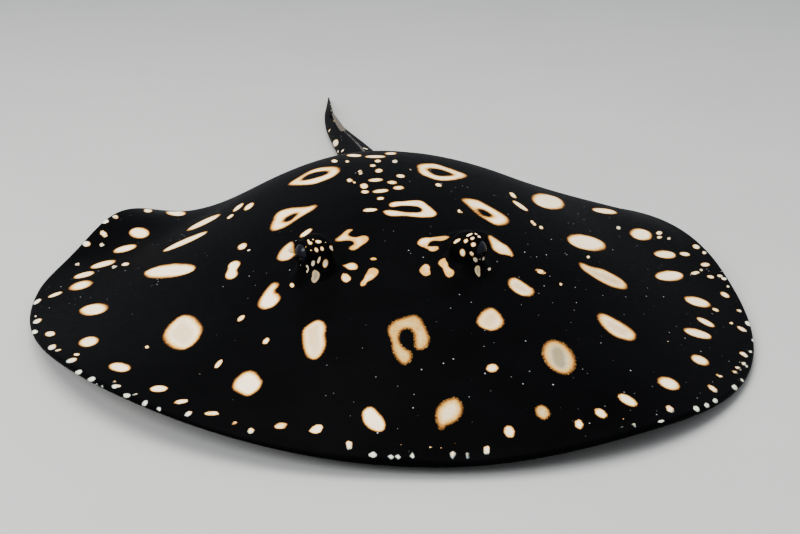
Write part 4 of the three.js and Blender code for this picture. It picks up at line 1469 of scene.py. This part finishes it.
def spot_colour(finish, size, stippled, depth):
    """Cream with a fringe, changed by the tones of each kind of spot."""
    peach, dusky, dim = (finish.attribute(name) for name in ("peach", "dusky", "dim"))
    fringe = (size * 0.42).smallest(4.2) * (1 + stippled * 1.1) * (1 - dim * 0.9)
    fringe = (fringe * (0.6 + finish.noise(45, 1.0) * 0.8)).largest(0.15)
    inwards = depth / fringe  # 0 at the edge and 1 where the fringe ends
    pale = finish.add("ShaderNodeValToRGB", {"stops": FRINGE}, {"Fac": inwards})
    core = inwards.rise(0.2, 0.7)
    warmth = 0.3 + finish.noise(75, 2.0).rise(0.34, 0.6) * 1.1
    pale = finish.blend((peach * core * warmth).smallest(0.95), pale, PEACH)
    pale = finish.blend(stippled * core * 0.5, pale, STIPPLE)
    middle = (depth / size).rise(0.15, 0.8) * (dusky * 1.6).smallest(0.85)
    pale = finish.blend(middle, pale, finish.blend(dusky, TAN, DUSK))
    mottled = finish.noise(850, 3.0).rise(0.52, 0.72) * (size / 8).smallest(1.0)
    pale = finish.blend(mottled * (0.25 + stippled * 0.5), pale, MOTTLE)
    dusted = finish.cells(800).rise(0.5, 0.2) * stippled * (1.1 - inwards.smallest(1.0) * 0.6)
    pale = finish.blend(dusted * finish.noise(150).rise(0.3, 0.6) * 0.75, pale, DUST)
    # Painted light: spots at the fins' thin edge are tinted blue-green, as by light thrown up from below.
    pale = finish.blend(finish.attribute("cool") * 0.45, pale, EDGE_BOUNCE_TINT)
    # Grey for faint spots, and painted shade for the spots low on the knobs and under the eyes.
    return finish.blend(dim * 0.8, pale, FAINT_AND_SHADE_GREY)


def black_skin(finish):
    """Black with patches of specks."""
    dark = finish.blend(finish.noise(35, 4.0), BLACK, BLUE_BLACK)
    specks = finish.cells(170).rise(0.085, 0.035) * finish.noise(13, 1.0).rise(0.44, 0.62)
    return finish.blend(specks * finish.noise(240).rise(0.35, 0.7), dark, SPECK)


def skin_finish():
    finish = Finish("ray_skin", Roughness=0.5, Specular_IOR_Level=0.008)
    size, stippled = finish.attribute("spot_size"), finish.attribute("stippled")
    depth = spot_depth(finish, size, stippled)
    pale = spot_colour(finish, size, stippled, depth)
    back = finish.blend(depth.rise(-0.2, 0.25), black_skin(finish), pale)
    under = finish.blend(finish.noise(60, 4.0), BELLY, PALE_BELLY)
    finish.feed("Base Color", finish.blend(finish.attribute("belly"), back, under))
    finish.feed("Roughness", 0.47 + finish.noise(300, 3.0) * 0.14)
    grain = finish.noise(1500, 2.0) * 0.6 + finish.noise(420, 3.0) * 0.4
    finish.feed("Normal", finish.bump(grain, 0.0003, 0.55))
    return finish.material


skin_mesh.materials.append(skin_finish())
print("skin finish:", len(skin_mesh.materials[0].node_tree.nodes), "nodes")

# %% [markdown]
# ## The eyes
#
# A ray's eye has a dark iris with a broad pupil. From above a fringed flap hangs into it, so
# what shows is a crescent. The eyeball is one turned form: a ball whose front bulges a little
# as the cornea does, and the pupil and the iris are drawn in the finish by the angle from the
# way the eye looks. A clear coat gives the wet shine.

# %% The eyeballs
EYE_RINGS = 40
EYE_AROUND = 64
BALL_RADIUS = EYEBALL_RADIUS - 0.15  # a little play between the ball and its lids
CORNEA_BULGE = 0.35
CORNEA_ANGLE = 0.7  # radians from the axis over which the cornea bulges
EYE_BLACK, EYE_FLECK, EYE_WHITE, PUPIL = "04050a", "0d0f18", "080c18", "030305"


def eyeball(side, name):
    middle, axis = eye_middle(side), eye_axis(side)
    across = np.cross(axis, (0, 0, 1))
    across /= np.linalg.norm(across)
    above = np.cross(across, axis)
    shell = Shell()
    loops = []
    for i in range(1, EYE_RINGS):
        angle = PI * i / EYE_RINGS
        radius = BALL_RADIUS + CORNEA_BULGE * math.exp(-((angle / CORNEA_ANGLE) ** 2))
        turn = np.arange(EYE_AROUND) * 2 * PI / EYE_AROUND
        ring = np.outer(np.cos(turn), across) + np.outer(np.sin(turn), above)
        ring = middle + radius * (math.cos(angle) * axis + math.sin(angle) * ring)
        loops.append(shell.add_points(ring))
    shell.add_wall(loops, "ball")
    for pole, loop, row, bulge in ((1, loops[0], 0, CORNEA_BULGE), (-1, loops[-1], len(loops) - 1, 0)):
        [tip] = shell.add_points([middle + pole * axis * (BALL_RADIUS + bulge)])
        for j in range(EYE_AROUND):
            corners = [tip, loop[j], loop[(j + 1) % EYE_AROUND]]
            unwrap = [(j, row - pole), (j, row), (j + 1, row)]
            shell.add_face(corners[::pole], unwrap[::pole], "ball")
    return show(mesh_of(shell, name, {"ball": (0.01, 0.01, 0.98, 0.98)}), name)


def eye_finish(side):
    """Iris and pupil by the angle from the eye's axis, under a clear coat."""
    finish = Finish(f"eye_{'left' if side > 0 else 'right'}", Roughness=0.3, Coat_Weight=0.13,
                    Coat_Roughness=0.04, Specular_IOR_Level=0.04)
    offset = finish.add("ShaderNodeVectorMath", {"operation": "SUBTRACT"},
                        {0: finish.place(), 1: tuple(eye_middle(side) * MM)})
    toward = finish.add("ShaderNodeVectorMath", {"operation": "NORMALIZE"}, {0: offset})
    ahead = finish.add("ShaderNodeVectorMath", {"operation": "DOT_PRODUCT"},
                       {0: toward, 1: tuple(eye_axis(side))}, output="Value")
    height = finish.add("ShaderNodeSeparateXYZ", None, {0: toward}, output="Z")
    fleck = finish.noise(900, 3.0)
    iris = finish.blend(fleck.rise(0.35, 0.65), EYE_BLACK, EYE_FLECK)
    edge = (finish.noise(1400, 1.0) - 0.5) * 0.06
    pupil = (ahead - (height - 0.14).largest(0.0) * 0.9 + edge).rise(0.86, 0.885)
    iris = finish.blend(pupil, iris, PUPIL)
    finish.feed("Base Color", finish.blend(ahead.rise(0.7, 0.62), iris, EYE_WHITE))
    finish.feed("Normal", finish.bump(fleck, 0.0001, 0.15))
    return finish.material


eyes = {}
for side, name in ((1, "left"), (-1, "right")):
    eyes[name] = eyeball(side, f"ray_eye_{name}")
    eyes[name].data.materials.append(eye_finish(side))
print("eyes at", np.round(eye_middle(1), 1), "mm and its mirror")

# %% [markdown]
# ## The sting
#
# The sting is a flat spine of bone-like dentine that lies along the tail, ridged along its
# middle, with a row of barbs on either edge that point back to its root. The blade is a loft.
# The barbs repeat along a line, so Geometry Nodes place them: a small cone is set on every point
# of a curve, turned to lean inwards, and shrunk towards the tip.

# %% The blade
STING = {"y": 392, "length": 68, "width": 6.4, "thickness": 3.2, "slope": 0.035}
STING_SUNK = 0.4  # mm that its root lies in the skin
BLADE_SHARE = 0.86  # the blade's share of the width; the barbs stand out from it
RIDGE = 0.18
STING_STEPS, STING_AROUND = 48, 20


def sting_place(t):
    y = STING["y"] + STING["length"] * t
    height = tail_height(STING["y"]) - STING_SUNK + STING["slope"] * STING["length"] * t
    return np.array([tail_x(y), y, height])


def sting_taper(t):
    return (1 - t ** 2.2) ** 0.7 * 0.92 + 0.08


sting = Shell()
loops = []
for i in range(STING_STEPS + 1):
    t = i / STING_STEPS
    angle = np.arange(STING_AROUND) * 2 * PI / STING_AROUND
    half = STING["width"] / 2 * sting_taper(t) * BLADE_SHARE
    thick = STING["thickness"] / 2 * sting_taper(t)
    ridge = 1 + RIDGE * np.exp(-((np.cos(angle) / 0.22) ** 2)) * (np.sin(angle) > 0)
    x = half * np.sign(np.cos(angle)) * np.abs(np.cos(angle)) ** 0.8
    ring = np.column_stack([x, np.zeros(STING_AROUND), thick * np.sin(angle) * ridge])
    loops.append(sting.add_points(sting_place(t) + ring))
sting.add_wall(loops, "blade", flipped=True)
for loop, row in ((loops[0][::-1], 0), (loops[-1], STING_STEPS)):
    sting.add_face(loop, [(j, row) for j in range(STING_AROUND)], "blade")
tail_sting = show(mesh_of(sting, "ray_sting", {"blade": (0.01, 0.01, 0.98, 0.98)}), "ray_sting")
print("sting:", STING["length"], "mm long")

# %% [markdown]
# ## Cones along a line, with Geometry Nodes
#
# One kind of tree serves the sting's barbs and the thorns of the tail. It resamples a curve to
# a given number of points, sets a cone on each, leans it, and shrinks it along the curve and a
# little at random. It ends in real geometry with its material set, and the result is kept as a
# plain mesh.

# %% The tree
CONE_TIP = 0.00006  # radius of a cone's blunt tip, in metres
CONE_INPUTS = {
    "Count": "Int", "Base": "Float", "Height": "Float", "Flatness": "Float", "Lean": "Float",
    "Turn": "Float", "End size": "Float", "Scatter": "Float", "Seed": "Int",
}


def cone_row_tree(material):
    """The tree and the keys of its inputs on a modifier."""
    tree = bpy.data.node_groups.new("cone_row", "GeometryNodeTree")
    interface = tree.interface
    interface.new_socket("Line", in_out="INPUT", socket_type="NodeSocketGeometry")
    inputs = {}
    for name, kind in CONE_INPUTS.items():
        socket = interface.new_socket(name, in_out="INPUT", socket_type=f"NodeSocket{kind}")
        inputs[name] = socket.identifier
    interface.new_socket("Cones", in_out="OUTPUT", socket_type="NodeSocketGeometry")

    def add(kind, settings=None, sockets=None):
        return make_node(tree, kind, settings, sockets)

    given = add("NodeGroupInput").outputs
    points = add("GeometryNodeCurveToPoints", {"mode": "COUNT"},
                 {"Curve": given["Line"], "Count": given["Count"]})
    cone = add("GeometryNodeMeshCone", None,
               {"Vertices": 9, "Side Segments": 3, "Radius Bottom": given["Base"],
                "Radius Top": CONE_TIP, "Depth": given["Height"]})
    squash = add("ShaderNodeCombineXYZ", None, {0: 1.0, 1: given["Flatness"], 2: 1.0})
    flat = add("GeometryNodeTransform", None,
               {"Geometry": cone.outputs["Mesh"], "Scale": squash.outputs[0]})
    index = add("GeometryNodeInputIndex").outputs[0]
    along = add("ShaderNodeMath", {"operation": "DIVIDE"}, {0: index, 1: given["Count"]}).outputs[0]
    shrink = add("ShaderNodeMapRange", None, {"Value": along, "To Min": 1.0, "To Max": given["End size"]})
    least = add("ShaderNodeMath", {"operation": "SUBTRACT"}, {0: 1.0, 1: given["Scatter"]}).outputs[0]
    luck = add("FunctionNodeRandomValue", None, {2: least, 3: 1.0, "Seed": given["Seed"]}).outputs[1]
    size = add("ShaderNodeMath", {"operation": "MULTIPLY"}, {0: shrink.outputs[0], 1: luck}).outputs[0]
    angles = add("ShaderNodeCombineXYZ", None, {0: given["Lean"], 1: 0.0, 2: given["Turn"]})
    placed = add("GeometryNodeInstanceOnPoints", None,
                 {"Points": points.outputs["Points"], "Instance": flat.outputs[0],
                  "Rotation": angles.outputs[0], "Scale": size})
    real = add("GeometryNodeRealizeInstances", None, {0: placed.outputs[0]})
    dressed = add("GeometryNodeSetMaterial", None, {"Geometry": real.outputs[0], "Material": material})
    result = add("NodeGroupOutput")
    tree.links.new(dressed.outputs[0], result.inputs[0])
    return tree, inputs


def cone_row(name, places, tree, inputs, sizes):
    """A plain mesh of cones along a line of places."""
    line = bpy.data.curves.new(name + "_line", "CURVE")
    line.dimensions = "3D"
    spline = line.splines.new("POLY")
    spline.points.add(len(places) - 1)
    for point, place in zip(spline.points, places):
        point.co = (*(place * MM), 1)
    holder = bpy.data.objects.new(name + "_line", line)
    bpy.context.scene.collection.objects.link(holder)
    modifier = holder.modifiers.new("cones", "NODES")
    modifier.node_group = tree
    for key, value in sizes.items():
        modifier[inputs[key]] = value
    graph = bpy.context.evaluated_depsgraph_get()
    mesh = bpy.data.meshes.new_from_object(holder.evaluated_get(graph))
    bpy.data.objects.remove(holder)
    mesh.name = name
    return mesh


print("a row of cones is set by:", ", ".join(CONE_INPUTS))

# %% [markdown]
# ## Bone and thorn finishes
#
# The sting lies under its dark sheath of skin, through which old ivory shows, and the thorns
# are nearly as black as the skin. Fine grooves run along both.

# %% The finishes
def ivory_finish(name, pale_code, dark_code):
    finish = Finish(name, Roughness=0.5)
    stretched = finish.add("ShaderNodeMapping", None, {"Vector": finish.place(), "Scale": (6.0, 0.5, 6.0)})
    grain = finish.noise(400, 4.0, stretched)
    finish.feed("Base Color", finish.blend(grain.rise(0.3, 0.7), dark_code, pale_code))
    finish.feed("Roughness", 0.42 + grain * 0.2)
    finish.feed("Normal", finish.bump(grain, 0.0002, 0.6))
    return finish.material


sting_material = ivory_finish("sting", "514634", "231d16")
thorn_material = ivory_finish("thorn", "37322b", "131110")
tail_sting.data.materials.append(sting_material)
print("finishes:", sting_material.name, "and", thorn_material.name)

# %% The barbs and the thorns: sizes in metres, angles in radians
BARB = {"Count": 26, "Base": 0.0009, "Height": 0.0023, "Flatness": 0.5,
        "Lean": math.radians(118), "End size": 0.5, "Scatter": 0.2, "Seed": 3}
BARB_TURN = math.radians(-28)
BARBS_ALONG = (0.12, 0.95)  # shares of the sting's length between which they stand
BARB_ROOTS = 0.78  # how far out on the blade they stand, as a share of its half width
THORN = {"Count": 19, "Base": 0.0021, "Height": 0.0042, "Flatness": 0.75,
         "Lean": math.radians(-40), "Turn": 0.0, "End size": 0.62, "Scatter": 0.3, "Seed": 5}
THORNS_Y = (262, 386)
THORN_SUNK = 0.7

barb_lines = []
for side in (-1, 1):
    barb_lines.append([])
    for t in np.linspace(*BARBS_ALONG, 30):
        out = side * STING["width"] / 2 * sting_taper(t) * BARB_ROOTS
        barb_lines[-1].append(sting_place(t) + (out, 0, 0))
barb_tree, barb_inputs = cone_row_tree(sting_material)
barbs = [
    cone_row("barbs", line, barb_tree, barb_inputs, {**BARB, "Turn": side * BARB_TURN})
    for side, line in zip((-1, 1), barb_lines)
]
thorn_line = [np.array([tail_x(y), y, tail_height(y) - THORN_SUNK]) for y in np.linspace(*THORNS_Y, 40)]
thorns = [cone_row("thorns", thorn_line, *cone_row_tree(thorn_material), THORN)]


def join(meshes, name, material):
    """One mesh of several, all in one material."""
    whole = bmesh.new()
    for mesh in meshes:
        whole.from_mesh(mesh)
    joined = bpy.data.meshes.new(name)
    whole.to_mesh(joined)
    whole.free()
    joined.materials.append(material)
    joined.polygons.foreach_set("material_index", [0] * len(joined.polygons))
    joined.polygons.foreach_set("use_smooth", [True] * len(joined.polygons))
    return joined


sting_barbs = show(join(barbs, "sting_barbs", sting_material), "sting_barbs")
tail_thorns = show(join(thorns, "tail_thorns", thorn_material), "tail_thorns")
print("barbs:", len(sting_barbs.data.polygons), "faces; thorns:", len(tail_thorns.data.polygons))

# %% [markdown]
# ## Floor and light
#
# The animal lies on a plain pale floor. A large soft lamp hangs above it, so that the back
# catches a broad dull gleam and the near edge falls into its own shadow. A weaker one stands in
# front, on the animal's right, and the sky is even and cool.

# %% The floor
FLOOR_REACH = 5.0  # metres
SKY_COLOUR = (0.82, 0.86, 0.92, 1)
SKY_STRENGTH = 1.12

floor_mesh = bpy.data.meshes.new("floor")
corners = [(x * FLOOR_REACH, y * FLOOR_REACH, 0) for x, y in ((-1, -1), (1, -1), (1, 1), (-1, 1))]
floor_mesh.from_pydata(corners, [], [(0, 1, 2, 3)])
floor = show(floor_mesh, "floor")
floor_finish = Finish("floor", Roughness=0.8)
floor_finish.feed("Base Color", floor_finish.blend(floor_finish.noise(6, 3.0), "9d9d9a", "a5a5a2"))
floor_mesh.materials.append(floor_finish.material)


def soft_lamp(name, place, size, watts, tint):
    """A square lamp that faces the middle of the animal."""
    lamp = bpy.data.lights.new(name, "AREA")
    lamp.size, lamp.energy, lamp.color = size, watts, tint
    holder = bpy.data.objects.new(name, lamp)
    holder.location = place
    holder.rotation_euler = (Vector((0, 0, 0.03)) - Vector(place)).to_track_quat("-Z", "Y").to_euler()
    bpy.context.scene.collection.objects.link(holder)


soft_lamp("top_lamp", (-0.35, -0.1, 1.8), 1.4, 62, (1.0, 0.98, 0.95))
soft_lamp("front_lamp", (-1.2, -1.3, 1.3), 0.9, 52, (0.96, 0.98, 1.0))
world = bpy.data.worlds.new("sky")
world.use_nodes = True
background = world.node_tree.nodes["Background"]
background.inputs["Color"].default_value = SKY_COLOUR
background.inputs["Strength"].default_value = SKY_STRENGTH
bpy.context.scene.world = world
print("lamps:", [light.name for light in bpy.data.lights if light.type == "AREA"])

# %% [markdown]
# ## Handing the pieces over
#
# The skin stands for every node of flesh, the eyeballs and the sting for theirs. All of it
# rides on the one body.

# %% Bodies and replaced nodes
FLESH = ("head", "trunk", "pectoral_fin_left", "pectoral_fin_right", "pelvic_fin_left",
         "pelvic_fin_right", "tail_base", "tail_middle", "tail_tip")
for piece, slot in ((ray_skin, "skin"), (eyes["left"], "eye"), (eyes["right"], "eye"),
                    (tail_sting, "sting"), (sting_barbs, "sting"), (tail_thorns, "sting")):
    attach(piece, "root")
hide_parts(*FLESH)
for name in ("left", "right"):
    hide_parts(f"eye_{name}")
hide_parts("tail_sting")
print("one skin stands for", len(FLESH), "solids")
